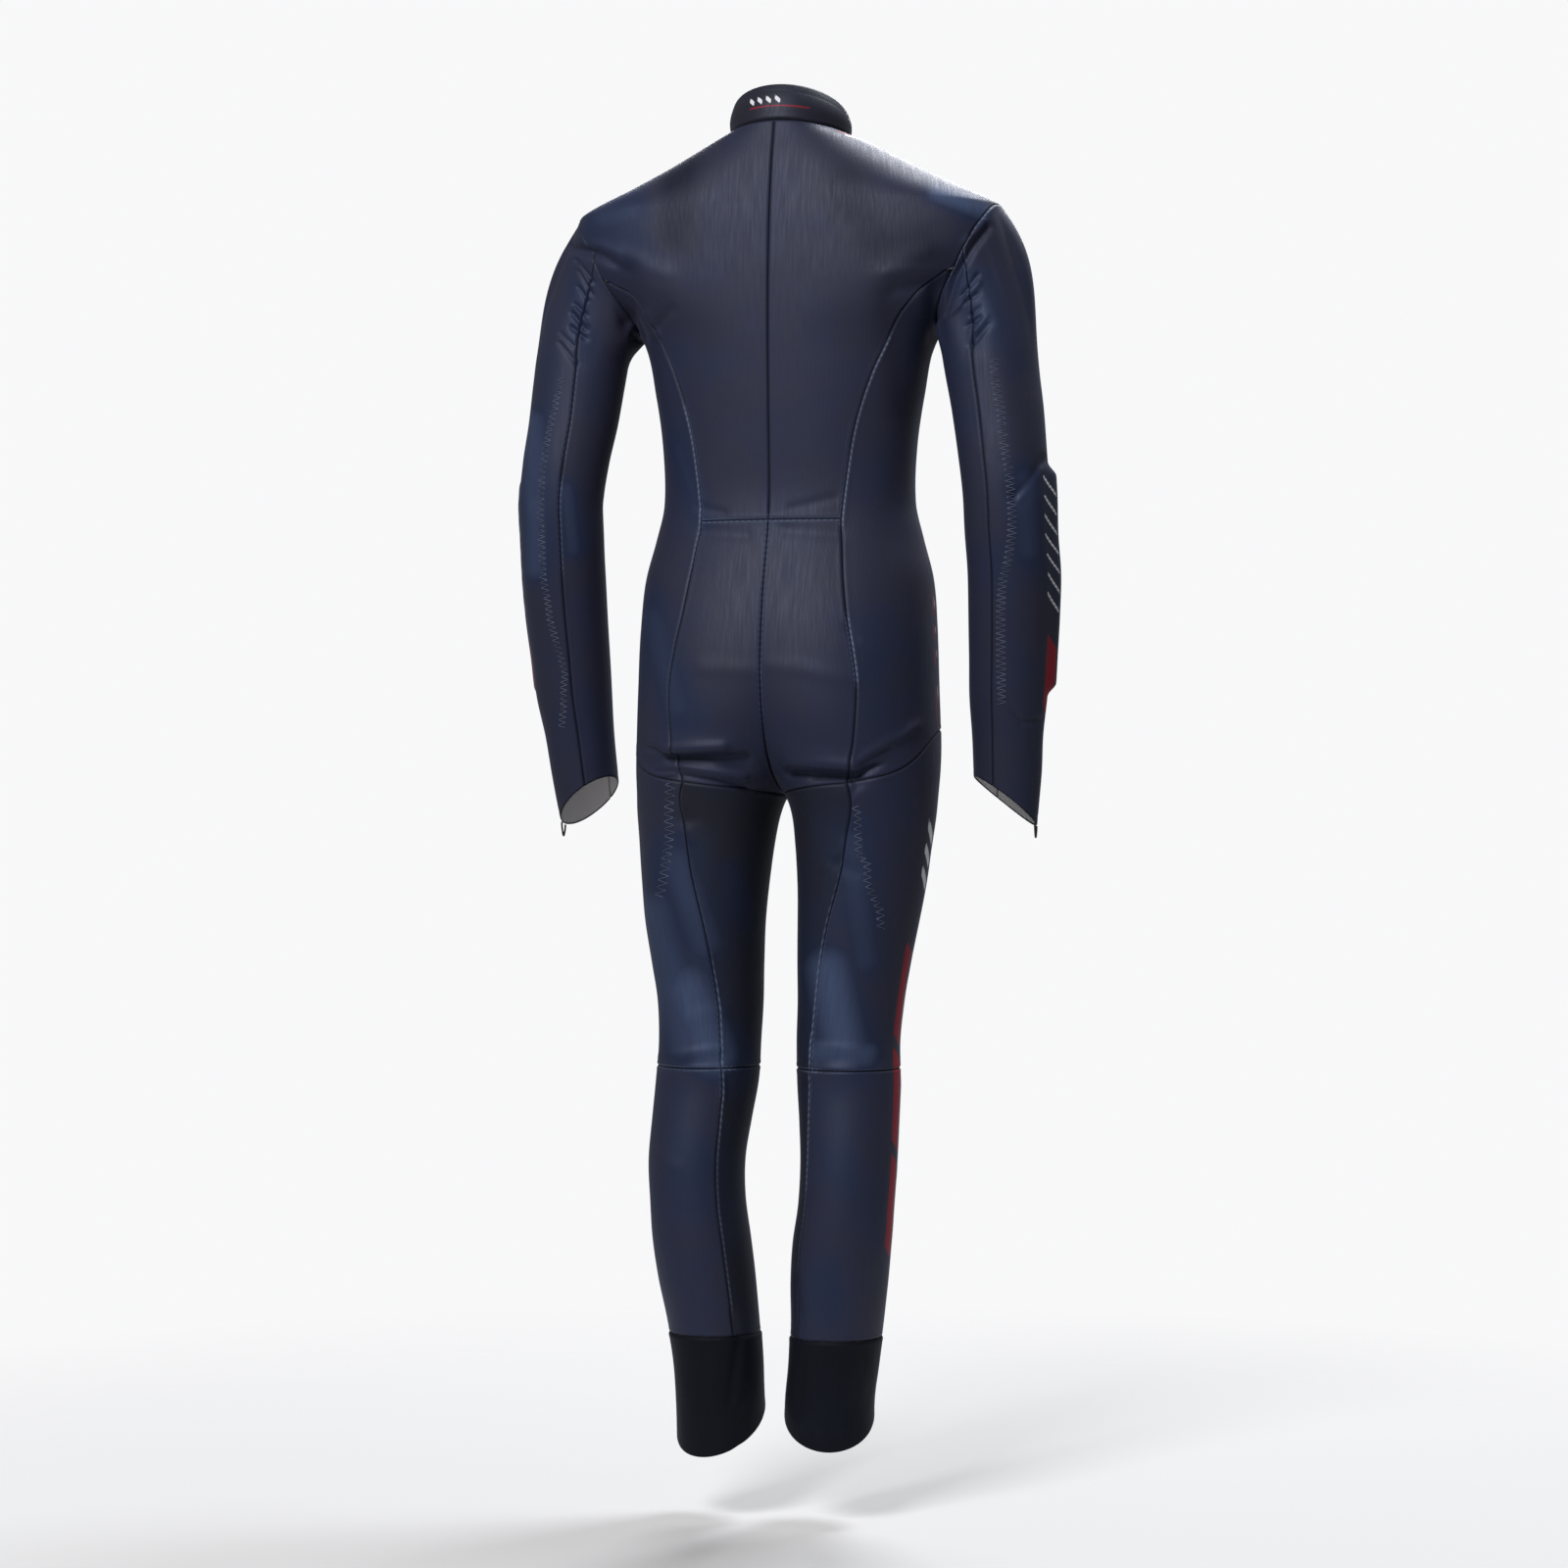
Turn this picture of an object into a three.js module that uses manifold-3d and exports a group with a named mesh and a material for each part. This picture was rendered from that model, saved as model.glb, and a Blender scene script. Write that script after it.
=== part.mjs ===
import * as THREE from 'three';
import { mergeVertices } from 'three/addons/utils/BufferGeometryUtils.js';
import Module from 'manifold-3d';

const wasm = await Module();
wasm.setup();

// A one-piece ski race suit, filled out and hollow, standing upright with its arms down.
// Millimetres, +Z up. The back of the suit faces -Y, and its right sleeve is at +X.
// The origin is the middle of the neck opening, level with the neck seam at the back.

const CLOTH_WALL = 2;
const COLLAR_WALL = 2.5;
const SEAM_GAP = 0.3;
const DEGREE = Math.PI / 180;

// Levels of the main seams, measured down from the neck seam.
const NECK = -8;
const WAIST = -421;
const CROTCH = -707;
const KNEE = -995;
const CUFF_SEAM = -1275;

// Cells across each panel, and down each stretch of it.
const CELLS = { back: 7, sideBack: 5, sideFront: 3, frontOuter: 4, frontInner: 3, sleeve: 9 };
const ROWS = { chest: 10, hip: 11, cap: 5, arm: 15, thigh: 11, calf: 10, ankle: 4, collar: 3 };

const ZIP_HALF_WIDTH = 6;
const ZIP_POINT_HALF_WIDTH = 0.8;
const ZIP_LAST_HIP_ROW = 6;

const COLOURS = {
  navy: 0x2b2e45,
  dark: 0x14151f,
  collar: 0x2f3140,
  tape: 0x101118,
  metal: 0xb9bcc2,
  pull: 0x23242c,
};
const ROUGHNESS = { cloth: 0.7, metal: 0.35, plastic: 0.5 };

// Reads a short table: the names of its columns, then one row for each section.
function table(columns, rows) {
  const names = columns.split(' ');
  return rows.map((row) => Object.fromEntries(names.map((name, i) => [name, row[i]])));
}

// The suit's sections from the neck to the hem of the legs. Above the crotch one half is
// described, from the centre line to the side; below it, one leg. 'round' is 2 for an ellipse
// and more for a squarer section. 'lift' and 'drop' tilt a section, up at the back, down in front.
const SECTIONS = table('level outer inner back front mid round lift drop sway', [
  [-8, 62, -62, -62, 64, 0, 2.0, 8, 44, 0],
  [-20, 90, -90, -68, 74, 0, 2.0, 6, 42, 0],
  [-42, 132, -132, -74, 84, 0, 2.1, 6, 36, 0],
  [-64, 176, -176, -79, 92, 0, 2.3, 6, 30, 0],
  [-82, 215, -215, -82, 98, 0, 2.6, 5, 24, 0],
  [-92, 229, -229, -84, 100, 0, 2.8, 4, 20, 0],
  [-120, 229, -229, -87, 104, 0, 3.0, 3, 14, 0],
  [-157, 215, -215, -90, 107, 0, 3.0, 0, 6, 0],
  [-190, 188, -188, -91, 108, 0, 2.8, 0, 2, 0],
  [-223, 159, -159, -91, 106, 0, 2.4, 0, 0, 0],
  [-285, 144, -144, -89, 101, 0, 2.3, 0, 0, 0],
  [-345, 136, -136, -86, 96, 0, 2.3, 0, 0, 0],
  [-400, 135, -135, -85, 94, 0, 2.3, 0, 0, 0],
  [-436, 143, -143, -92, 95, 0, 2.3, 0, 0, 0],
  [-480, 154, -126, -106, 97, 0, 2.3, 0, 0, 0],
  [-530, 158, -103, -118, 97, 0, 2.3, 0, 0, 0],
  [-585, 160, -82, -126, 94, 0, 2.2, 0, 0, 0],
  [-640, 162, -51, -124, 88, 0, 2.1, 0, 0, 0],
  [-680, 163, -22, -113, 82, -4, 2.1, 0, 0, 0],
  [-707, 162, 0, -104, 76, -12, 2.0, 0, 0, 0],
  [-728, 161, 8.7, -97, 72, -12, 2.0, 0, 0, -0.5],
  [-760, 157.5, 14, -94, 67, -14, 2.0, 0, 0, -1.5],
  [-801, 153, 18, -92, 60, -16, 2.0, 0, 0, -2.5],
  [-843, 147, 20, -90, 53, -18, 2.0, 0, 0, -4],
  [-885, 139.5, 20.5, -86, 46, -20, 2.0, 0, 0, -4.5],
  [-926, 133, 21, -85, 39, -23, 2.0, 0, 0, -4],
  [-968, 130, 21.5, -84, 32, -26, 2.0, 0, 0, -5],
  [-1010, 132, 23, -87, 26, -30, 2.0, 0, 0, -5],
  [-1052, 133, 28, -94, 20, -37, 2.0, 0, 0, -6],
  [-1093, 133.5, 32, -101, 13, -44, 2.0, 0, 0, -7],
  [-1135, 131, 31, -104, 10, -47, 2.0, 0, 0, -7],
  [-1177, 128, 25, -105, 9, -48, 2.0, 0, 0, -7],
  [-1219, 123, 21, -102, 8, -47, 2.0, 0, 0, -6],
  [-1260, 116.5, 19, -98, 6, -46, 2.0, 0, 0, -4],
  [-1302, 110, 16.5, -95, 6, -44, 2.0, 0, 0, -3.5],
  [-1344, 105.5, 14, -92, 8, -42, 2.0, 0, 0, -5],
  [-1400, 105, 11, -91, 9, -41, 2.0, 0, 0, -4],
]);

// The back princess seam, by its distance from the centre line.
const BACK_PRINCESS = table('level x', [
  [-164, 184], [-178, 166], [-192, 150], [-211, 134], [-241, 119], [-270, 106], [-320, 90],
  [-370, 81], [-421, 76], [-450, 79], [-484, 83], [-523, 89], [-552, 95], [-597, 101],
  [-650, 98], [-692, 90],
]);

// The front princess seam and the long leg seam behind the inner leg, round the section:
// 0 is the centre of the back or the inseam, 0.5 the outer side and 1 the centre of the front.
const FRONT_PRINCESS = table('level u', [[-164, 0.672], [-215, 0.7], [-260, 0.72], [-700, 0.72]]);
const LEG_SEAM = table('level u', [
  [-692, 0.27], [-785, 0.24], [-850, 0.205], [-926, 0.18], [-990, 0.165], [-1052, 0.145],
  [-1115, 0.135], [-1400, 0.135],
]);
const OUTER_LEG_SEAM = 0.56;
const INNER_FRONT_LEG_SEAM = 0.86;

// The seam between the hips and the thighs, round one leg.
const THIGH_SEAM = table('u level', [
  [0, -709], [0.27, -692], [0.35, -681], [0.5, -642], [0.72, -650], [0.88, -684], [1, -709],
]);

// The armhole is an oval on the body: its centre, half widths, and the seams that meet it.
const ARMHOLE = { u: 0.5, level: -153, halfU: 0.175, halfLevel: 63.5 };
const ARMHOLE_STEP = 20;
const BACK_JOIN = 100;
const FRONT_JOIN = 260;

// The middle line and half width of a sleeve, from under the armhole to the wrist.
const SLEEVE = table('level x y half sway', [
  [-222, 221, -8, 51, -5], [-269, 227, -14, 49.5, -4], [-311, 233, -20, 48, -2.5],
  [-353, 239, -26, 46.5, -2.8], [-394, 243.5, -28, 45.5, -3], [-436, 244, -24, 45, -2.6],
  [-478, 244.8, -16, 45, -2.2], [-520, 243.5, -8, 44, -2.7], [-561, 241.5, 0, 42.5, -3.1],
  [-603, 239.5, 8, 41, -3.8], [-645, 236.5, 16, 37.5, -3.3], [-687, 234, 24, 36, -2.7],
  [-740, 230, 32, 33, -2],
]);
const SLEEVE_RING = -252;
const RING_STEP = 6;
const WRIST = { level: -715, outerDrop: 24, frontDrop: 10 };
const SLEEVE_SEAMS = { backTop: 80, backLow: 105, frontTop: 260, frontLow: 240, settled: 1.3 };
const FOREARM_PAD = { top: -362, bottom: -605, edge: 14, angle: -38, spread: 38, height: 9 };

// Ankle hems rise over the instep and reach lowest at the heel.
const HEM = { left: -1370, right: -1359, innerLift: 8, heelDrop: 30 };
const CUFF_STEP = 1.2;

// The collar's top edge, its lean to the front and the swell of its wall.
const COLLAR = { sideTop: 15, tilt: 23, lean: 8, closing: 0.95, swell: 3 };

// The largest folds: ridges are above 0 and troughs below, along a line on the back or front.
const FOLDS = table('face x1 z1 x2 z2 width height', [
  [-1, -118, -655, -30, -659, 11, 2.5],
  [-1, -122, -673, -26, -677, 11, -5],
  [-1, 24, -667, 96, -676, 11, 2.5],
  [-1, 22, -684, 98, -691, 11, -5],
  [-1, 108, -684, 150, -650, 12, -3],
  [-1, -190, -140, -118, -176, 16, 3],
  [-1, 190, -140, 124, -172, 16, 3],
  [-1, -196, -170, -152, -204, 14, -3],
  [-1, 196, -168, 152, -204, 14, -3],
  [-1, -110, -995, -40, -999, 16, 2],
  [-1, 40, -997, 108, -992, 16, 2],
  [1, -118, -664, -60, -690, 14, -3],
  [1, 118, -664, 60, -690, 14, -3],
]);
const SLEEVE_FOLDS = table('face x1 z1 x2 z2 width height', [
  [-1, -238, -172, -206, -236, 14, -3],
  [-1, 236, -176, 208, -240, 14, -3],
  [-1, 300, -352, 262, -398, 13, -3],
  [-1, -300, -356, -266, -392, 13, -2],
  [1, -262, -388, -222, -400, 15, -4],
  [1, 252, -386, 214, -398, 15, -4],
]);

// A smooth curve through one column of a table, at a value of the column that orders it.
function along(rows, order, name, at) {
  const falling = rows[1][order] < rows[0][order];
  const last = rows.length - 1;
  const reached = rows.findIndex((row) => (falling ? row[order] <= at : row[order] >= at));
  const k = reached < 0 ? last : Math.max(1, reached);
  const slope = (i) => {
    const a = rows[Math.max(0, i - 1)];
    const b = rows[Math.min(last, i + 1)];
    return (b[name] - a[name]) / (b[order] - a[order]);
  };
  const a = rows[k - 1];
  const b = rows[k];
  const span = b[order] - a[order];
  const t = THREE.MathUtils.clamp((at - a[order]) / span, 0, 1);
  const keepB = t * t * (3 - 2 * t);
  const leaveA = t * (1 - t) * (1 - t) * span * slope(k - 1);
  const reachB = t * t * (t - 1) * span * slope(k);
  return a[name] * (1 - keepB) + b[name] * keepB + leaveA + reachB;
}

const mix = THREE.MathUtils.lerp;
const smooth = THREE.MathUtils.smoothstep;
const signedPower = (value, power) => Math.sign(value) * Math.abs(value) ** power;

// How far the cloth stands out at a place, from the folds of one face.
function foldHeight(folds, face, x, z) {
  let height = 0;
  for (const fold of folds) {
    if (fold.face !== face) continue;
    const dx = fold.x2 - fold.x1;
    const dz = fold.z2 - fold.z1;
    const t = ((x - fold.x1) * dx + (z - fold.z1) * dz) / (dx * dx + dz * dz);
    const nearest = THREE.MathUtils.clamp(t, 0, 1);
    const away = Math.hypot(x - fold.x1 - dx * nearest, z - fold.z1 - dz * nearest);
    height += fold.height * Math.exp(-((away / fold.width) ** 2));
  }
  return height;
}

// A point on the body of the suit. side is 1 for the right half and -1 for the left.
function bodyPoint(side, u, level) {
  const section = {};
  for (const name of ['outer', 'inner', 'back', 'front', 'mid', 'round', 'lift', 'drop', 'sway']) {
    section[name] = along(SECTIONS, 'level', name, level);
  }
  const centre = (section.outer + section.inner) / 2;
  const half = (section.outer - section.inner) / 2;
  const cut = Math.min(1, centre / half);
  const start = level > CROTCH ? Math.acos(signedPower(cut, section.round / 2)) : 0;
  const angle = start + (2 * Math.PI - 2 * start) * u;
  const power = 2 / section.round;
  const behind = Math.sin(angle) > 0;
  const face = behind ? -1 : 1;
  const depth = behind ? section.mid - section.back : section.front - section.mid;
  const tilt = Math.cos(Math.PI * u) ** 2;
  const x = side * (centre - half * signedPower(Math.cos(angle), power)) + section.sway;
  const z = level + (behind ? section.lift : -section.drop) * tilt;
  const outwards = depth * Math.abs(Math.sin(angle)) ** power;
  const fold = foldHeight(FOLDS, face, x, z) * Math.abs(Math.sin(angle));
  return new THREE.Vector3(x, section.mid + face * (outwards + fold), z);
}

const NEAR_CENTRE = 1;

// The outward direction there. On the centre line it has no part to either side.
function bodyNormal(side, u, level) {
  const stepU = 0.004;
  const stepLevel = 1;
  const open = level > CROTCH;
  const before = open ? Math.max(0, u - stepU) : u - stepU;
  const after = open ? Math.min(1, u + stepU) : u + stepU;
  const across = bodyPoint(side, after, level).sub(bodyPoint(side, before, level));
  const down = bodyPoint(side, u, level - stepLevel).sub(bodyPoint(side, u, level + stepLevel));
  const normal = across.cross(down).multiplyScalar(-side);
  if (Math.abs(bodyPoint(side, u, level).x) < NEAR_CENTRE && u % 1 === 0) normal.x = 0;
  return normal.normalize();
}

// Where a line round the section, at one level, has a given distance from the centre line.
const HALVINGS = 40;

function placeAcross(level, x, inFront) {
  let near = inFront ? 1 : 0;
  let far = 0.5;
  for (let i = 0; i < HALVINGS; i += 1) {
    const middle = (near + far) / 2;
    if (bodyPoint(1, middle, level).x < x) near = middle;
    else far = middle;
  }
  return (near + far) / 2;
}

function armhole(angle) {
  return {
    u: ARMHOLE.u - ARMHOLE.halfU * Math.sin(angle * DEGREE),
    level: ARMHOLE.level + ARMHOLE.halfLevel * Math.cos(angle * DEGREE),
  };
}

// A point on the sleeve below the armhole. angle is 0 outside, 90 behind, 180 inside.
function armPoint(side, angle, level) {
  const turn = angle * DEGREE;
  const half = along(SLEEVE, 'level', 'half', level);
  const away = Math.abs(((((angle - FOREARM_PAD.angle + 180) % 360) + 360) % 360) - 180);
  const { top, bottom, edge, spread } = FOREARM_PAD;
  const down = smooth(top - level, 0, edge) * smooth(level - bottom, 0, edge);
  const reach = half + FOREARM_PAD.height * down * Math.exp(-((away / spread) ** 4));
  const sway = along(SLEEVE, 'level', 'sway', level);
  const x = side * (along(SLEEVE, 'level', 'x', level) + reach * Math.cos(turn)) + sway;
  const face = Math.sin(turn) > 0 ? -1 : 1;
  const fold = face * foldHeight(SLEEVE_FOLDS, face, x, level) * Math.abs(Math.sin(turn));
  const y = along(SLEEVE, 'level', 'y', level) - reach * Math.sin(turn) + fold;
  return new THREE.Vector3(x, y, level);
}

function wristLevel(angle) {
  const turn = angle * DEGREE;
  return WRIST.level - WRIST.outerDrop * Math.cos(turn) + WRIST.frontDrop * Math.sin(turn);
}

const CLING = { over: 0.8, under: 0.25 };
const CAP_FULLNESS = 1.25;

// A point on a whole sleeve: run is 0 at the armhole, 1 under it and 2 at the wrist.
function sleevePoint(side, angle, run) {
  if (run >= 1) {
    return armPoint(side, angle, mix(SLEEVE_RING, wristLevel(angle), run - 1));
  }
  const { u, level } = armhole(angle);
  const start = bodyPoint(side, u, level);
  const end = armPoint(side, angle, SLEEVE_RING);
  const chord = end.clone().sub(start);
  const length = chord.length() * CAP_FULLNESS;
  const normal = bodyNormal(side, u, level);
  const cling = mix(CLING.under, CLING.over, (1 + Math.cos(angle * DEGREE)) / 2);
  const leave = chord.clone().addScaledVector(normal, -cling * chord.dot(normal)).setLength(length);
  const below = armPoint(side, angle, SLEEVE_RING - RING_STEP);
  const arrive = below.sub(end).setLength(length);
  const atEnd = run * run * (3 - 2 * run);
  return start.multiplyScalar(1 - atEnd)
    .addScaledVector(end, atEnd)
    .addScaledVector(leave, run * (1 - run) * (1 - run))
    .addScaledVector(arrive, run * run * (run - 1));
}

function sleeveNormal(side, angle, run) {
  const step = 0.01;
  const across = sleevePoint(side, angle + 1, run).sub(sleevePoint(side, angle - 1, run));
  const low = sleevePoint(side, angle, run + step);
  const high = sleevePoint(side, angle, Math.max(0, run - step));
  return across.cross(low.sub(high)).multiplyScalar(side).normalize();
}

// At a seam that turns a corner both pieces share the direction halfway between them.
function armholeNormal(side, angle) {
  const { u, level } = armhole(angle);
  return bodyNormal(side, u, level).add(sleeveNormal(side, angle, 0)).normalize();
}

function collarPoint(side, u, rise) {
  const base = bodyPoint(side, u, NECK);
  const depth = along(SECTIONS, 'level', 'front', NECK);
  const top = new THREE.Vector3(
    base.x,
    base.y * COLLAR.closing + COLLAR.lean,
    COLLAR.sideTop - (COLLAR.tilt * base.y) / depth,
  );
  const out = new THREE.Vector3(base.x, base.y, 0).normalize();
  return base.lerp(top, rise).addScaledVector(out, COLLAR.swell * Math.sin(Math.PI * rise));
}

function collarNormal(side, u, rise) {
  const step = 0.02;
  const before = collarPoint(side, Math.max(0, u - step), rise);
  const across = collarPoint(side, Math.min(1, u + step), rise).sub(before);
  const up = collarPoint(side, u, Math.min(1, rise + step));
  const down = up.sub(collarPoint(side, u, Math.max(0, rise - step))).negate();
  const normal = across.cross(down).multiplyScalar(-side);
  if (u === 0) normal.x = 0;
  return normal.normalize();
}

function neckNormal(side, u) {
  return bodyNormal(side, u, NECK).add(collarNormal(side, u, 0)).normalize();
}

// Makes a closed wall from a grid of surface points and outward directions. Every free edge
// is drawn in by half a seam gap. A wrapped grid closes on itself from side to side.
function wall(grid, thickness, wrapped = false) {
  const rows = grid.length;
  const columns = grid[0].length;
  const column = (i) => (wrapped ? (i + columns) % columns : Math.min(columns - 1, Math.max(0, i)));
  const row = (j) => Math.min(rows - 1, Math.max(0, j));
  const drawnIn = grid.map((line, j) => line.map((spot, i) => {
    const place = spot.place.clone();
    const edges = [];
    if (j === 0) edges.push([[j, i - 1], [j, i + 1], [1, i]]);
    if (j === rows - 1) edges.push([[j, i - 1], [j, i + 1], [rows - 2, i]]);
    if (!wrapped && i === 0) edges.push([[j - 1, i], [j + 1, i], [j, 1]]);
    if (!wrapped && i === columns - 1) edges.push([[j - 1, i], [j + 1, i], [j, columns - 2]]);
    for (const [a, b, inside] of edges) {
      const from = grid[row(a[0])][column(a[1])].place;
      const to = grid[row(b[0])][column(b[1])].place;
      const inwards = to.clone().sub(from).cross(spot.normal).setLength(SEAM_GAP / 2);
      const towards = grid[inside[0]][column(inside[1])].place.clone().sub(spot.place);
      if (inwards.dot(towards) < 0) inwards.negate();
      place.add(inwards);
    }
    return place;
  }));
  const positions = [];
  for (const depth of [0, thickness]) {
    for (let j = 0; j < rows; j += 1) {
      for (let i = 0; i < columns; i += 1) {
        const at = drawnIn[j][i].clone().addScaledVector(grid[j][i].normal, -depth);
        positions.push(at.x, at.y, at.z);
      }
    }
  }
  const outside = (j, i) => j * columns + column(i);
  const inside = (j, i) => rows * columns + outside(j, i);
  const faces = [];
  const quad = (a, b, c, d) => faces.push(a, b, c, a, c, d);
  const spotAt = (i) => new THREE.Vector3().fromArray(positions, 3 * i);
  const apart = (a, b) => spotAt(a).distanceTo(spotAt(b));
  // A twisted rim is split along its shorter diagonal, so that both sides of a seam match.
  const rim = (a, b, c, d) => (apart(a, c) < apart(b, d) ? quad(a, b, c, d) : quad(b, c, d, a));
  const cells = wrapped ? columns : columns - 1;
  for (let j = 0; j < rows - 1; j += 1) {
    for (let i = 0; i < cells; i += 1) {
      quad(outside(j, i), outside(j + 1, i), outside(j + 1, i + 1), outside(j, i + 1));
      quad(inside(j, i), inside(j, i + 1), inside(j + 1, i + 1), inside(j + 1, i));
    }
  }
  for (let i = 0; i < cells; i += 1) {
    const end = rows - 1;
    rim(outside(0, i), outside(0, i + 1), inside(0, i + 1), inside(0, i));
    rim(outside(end, i), inside(end, i), inside(end, i + 1), outside(end, i + 1));
  }
  if (!wrapped) {
    for (let j = 0; j < rows - 1; j += 1) {
      const end = columns - 1;
      rim(outside(j + 1, 0), outside(j, 0), inside(j, 0), inside(j + 1, 0));
      rim(outside(j + 1, end), inside(j + 1, end), inside(j, end), outside(j, end));
    }
  }
  return facingOut(positions, faces);
}

// Turns the faces over where the shape came out inside out, as a mirrored half does.
function facingOut(positions, faces) {
  const corner = (i) => new THREE.Vector3().fromArray(positions, 3 * i);
  let volume = 0;
  for (let k = 0; k < faces.length; k += 3) {
    const [a, b, c] = faces.slice(k, k + 3).map(corner);
    volume += a.dot(b.cross(c));
  }
  if (volume < 0) {
    for (let k = 0; k < faces.length; k += 3) {
      [faces[k + 1], faces[k + 2]] = [faces[k + 2], faces[k + 1]];
    }
  }
  const geometry = new THREE.BufferGeometry();
  geometry.setAttribute('position', new THREE.Float32BufferAttribute(positions, 3));
  geometry.setIndex(faces);
  geometry.computeVertexNormals();
  return geometry;
}

// Builds a grid of rows and columns from a function of both.
function gridOf(rowCells, columnCells, spot) {
  const lines = [];
  for (let j = 0; j <= rowCells; j += 1) {
    const line = [];
    for (let i = 0; i <= columnCells; i += 1) line.push(spot(j, i));
    lines.push(line);
  }
  return lines;
}

const bodySpot = (side, u, level) => ({
  place: bodyPoint(side, u, level),
  normal: bodyNormal(side, u, level),
});

// Hip rows are closer together towards the thigh seam. Columns settle to the spacing of the
// next seam over a number of rows, or from a share of the way down the hip.
const HIP_SPREAD = 1.3;
const SETTLING_ROWS = 5;
const SETTLING_SHARE = 0.4;

// The rows that the body panels share. Each names its kind, so that their edges match.
const ARM_TOP_LEVELS = [NECK, -20, -42, -64, -80];
const JOIN_LEVEL = armhole(BACK_JOIN).level;
const ARMHOLE_ROWS = BACK_JOIN / ARMHOLE_STEP;
const SHOULDER_ROWS = ARM_TOP_LEVELS.length;
const UPPER_ROWS = SHOULDER_ROWS + ARMHOLE_ROWS;
const chestLevel = (k) => mix(JOIN_LEVEL, WAIST, k / ROWS.chest);
const hipShare = (k) => 1 - (1 - k / ROWS.hip) ** HIP_SPREAD;

const thighSeamLevel = (u) => along(THIGH_SEAM, 'u', 'level', u);
const princessFoot = placeAcross(BACK_PRINCESS.at(-1).level, BACK_PRINCESS.at(-1).x, false);
const seatU = (i) => (princessFoot * i) / CELLS.back;
const sideCells = CELLS.sideBack + CELLS.sideFront;
const frontCells = CELLS.frontOuter + CELLS.frontInner;

function sideU(i) {
  const foot = FRONT_PRINCESS.at(-1).u;
  if (i <= CELLS.sideBack) return mix(princessFoot, OUTER_LEG_SEAM, i / CELLS.sideBack);
  return mix(OUTER_LEG_SEAM, foot, (i - CELLS.sideBack) / CELLS.sideFront);
}

function frontU(i) {
  const foot = FRONT_PRINCESS.at(-1).u;
  if (i <= CELLS.frontOuter) return mix(foot, INNER_FRONT_LEG_SEAM, i / CELLS.frontOuter);
  return mix(INNER_FRONT_LEG_SEAM, 1, (i - CELLS.frontOuter) / CELLS.frontInner);
}

// Spreads columns evenly over a squarish section, whose middle would else be thinly covered.
function evenly(level, share) {
  const squareness = level > WAIST ? along(SECTIONS, 'level', 'round', level) / 2 : 1;
  return share ** squareness;
}

const backPrincess = (level) => placeAcross(level, along(BACK_PRINCESS, 'level', 'x', level), false);
const frontPrincess = (level) => along(FRONT_PRINCESS, 'level', 'u', level);

// A row of a back or front panel above the waist: its level, and where its outer edge lies.
function upperRow(j, inFront) {
  if (j < SHOULDER_ROWS) return { level: ARM_TOP_LEVELS[j], edge: 0.5 };
  if (j <= UPPER_ROWS) {
    const angle = (j - SHOULDER_ROWS) * ARMHOLE_STEP;
    const { u, level } = armhole(inFront ? 360 - angle : angle);
    return { level, edge: u, angle: inFront ? 360 - angle : angle };
  }
  const level = chestLevel(j - UPPER_ROWS);
  return { level, edge: inFront ? frontPrincess(level) : backPrincess(level) };
}

function upperSpot(side, u, row, j, atEdge) {
  const spot = bodySpot(side, u, row.level);
  if (j === 0) spot.normal = neckNormal(side, u);
  if (atEdge && row.angle !== undefined) spot.normal = armholeNormal(side, row.angle);
  return spot;
}

function backPanel(side) {
  return gridOf(UPPER_ROWS + ROWS.chest, CELLS.back, (j, i) => {
    const row = upperRow(j, false);
    const u = row.edge * evenly(row.level, i / CELLS.back);
    return upperSpot(side, u, row, j, i === CELLS.back);
  });
}

function seatPanel(side) {
  return gridOf(ROWS.hip, CELLS.back, (j, i) => {
    const share = hipShare(j);
    const edge = backPrincess(mix(WAIST, BACK_PRINCESS.at(-1).level, share));
    const level = mix(WAIST, thighSeamLevel(seatU(i)), share);
    return bodySpot(side, (edge * i) / CELLS.back, level);
  });
}

function sidePanel(side) {
  return gridOf(ROWS.chest + ROWS.hip, sideCells, (j, i) => {
    const angle = BACK_JOIN + i * ARMHOLE_STEP;
    const top = armhole(angle);
    if (j === 0) {
      return { place: bodyPoint(side, top.u, top.level), normal: armholeNormal(side, angle) };
    }
    const share = i / sideCells;
    if (j <= ROWS.chest) {
      const level = mix(top.level, WAIST, j / ROWS.chest);
      const edgeLevel = chestLevel(j);
      const even = mix(backPrincess(edgeLevel), frontPrincess(edgeLevel), share);
      const onEdge = i === 0 || i === sideCells;
      const u = mix(top.u, even, smooth(j, 0, SETTLING_ROWS));
      return bodySpot(side, onEdge ? even : u, level);
    }
    const hip = hipShare(j - ROWS.chest);
    const level = mix(WAIST, thighSeamLevel(sideU(i)), hip);
    const edgeLevel = mix(WAIST, BACK_PRINCESS.at(-1).level, hip);
    const even = mix(backPrincess(edgeLevel), FRONT_PRINCESS.at(-1).u, share);
    const onEdge = i === 0 || i === sideCells;
    const u = mix(even, sideU(i), smooth(hip, SETTLING_SHARE, 1));
    return bodySpot(side, onEdge ? even : u, level);
  });
}

// Half of the opening between the fronts: the zip's width, its point, then a closed seam.
function openingHalf(hipRow) {
  if (hipRow <= ZIP_LAST_HIP_ROW) return ZIP_HALF_WIDTH;
  return hipRow === ZIP_LAST_HIP_ROW + 1 ? ZIP_POINT_HALF_WIDTH : 0;
}

function frontEdge(level, hipRow) {
  const half = openingHalf(hipRow);
  return half === 0 ? 1 : placeAcross(level, half, true);
}

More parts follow.
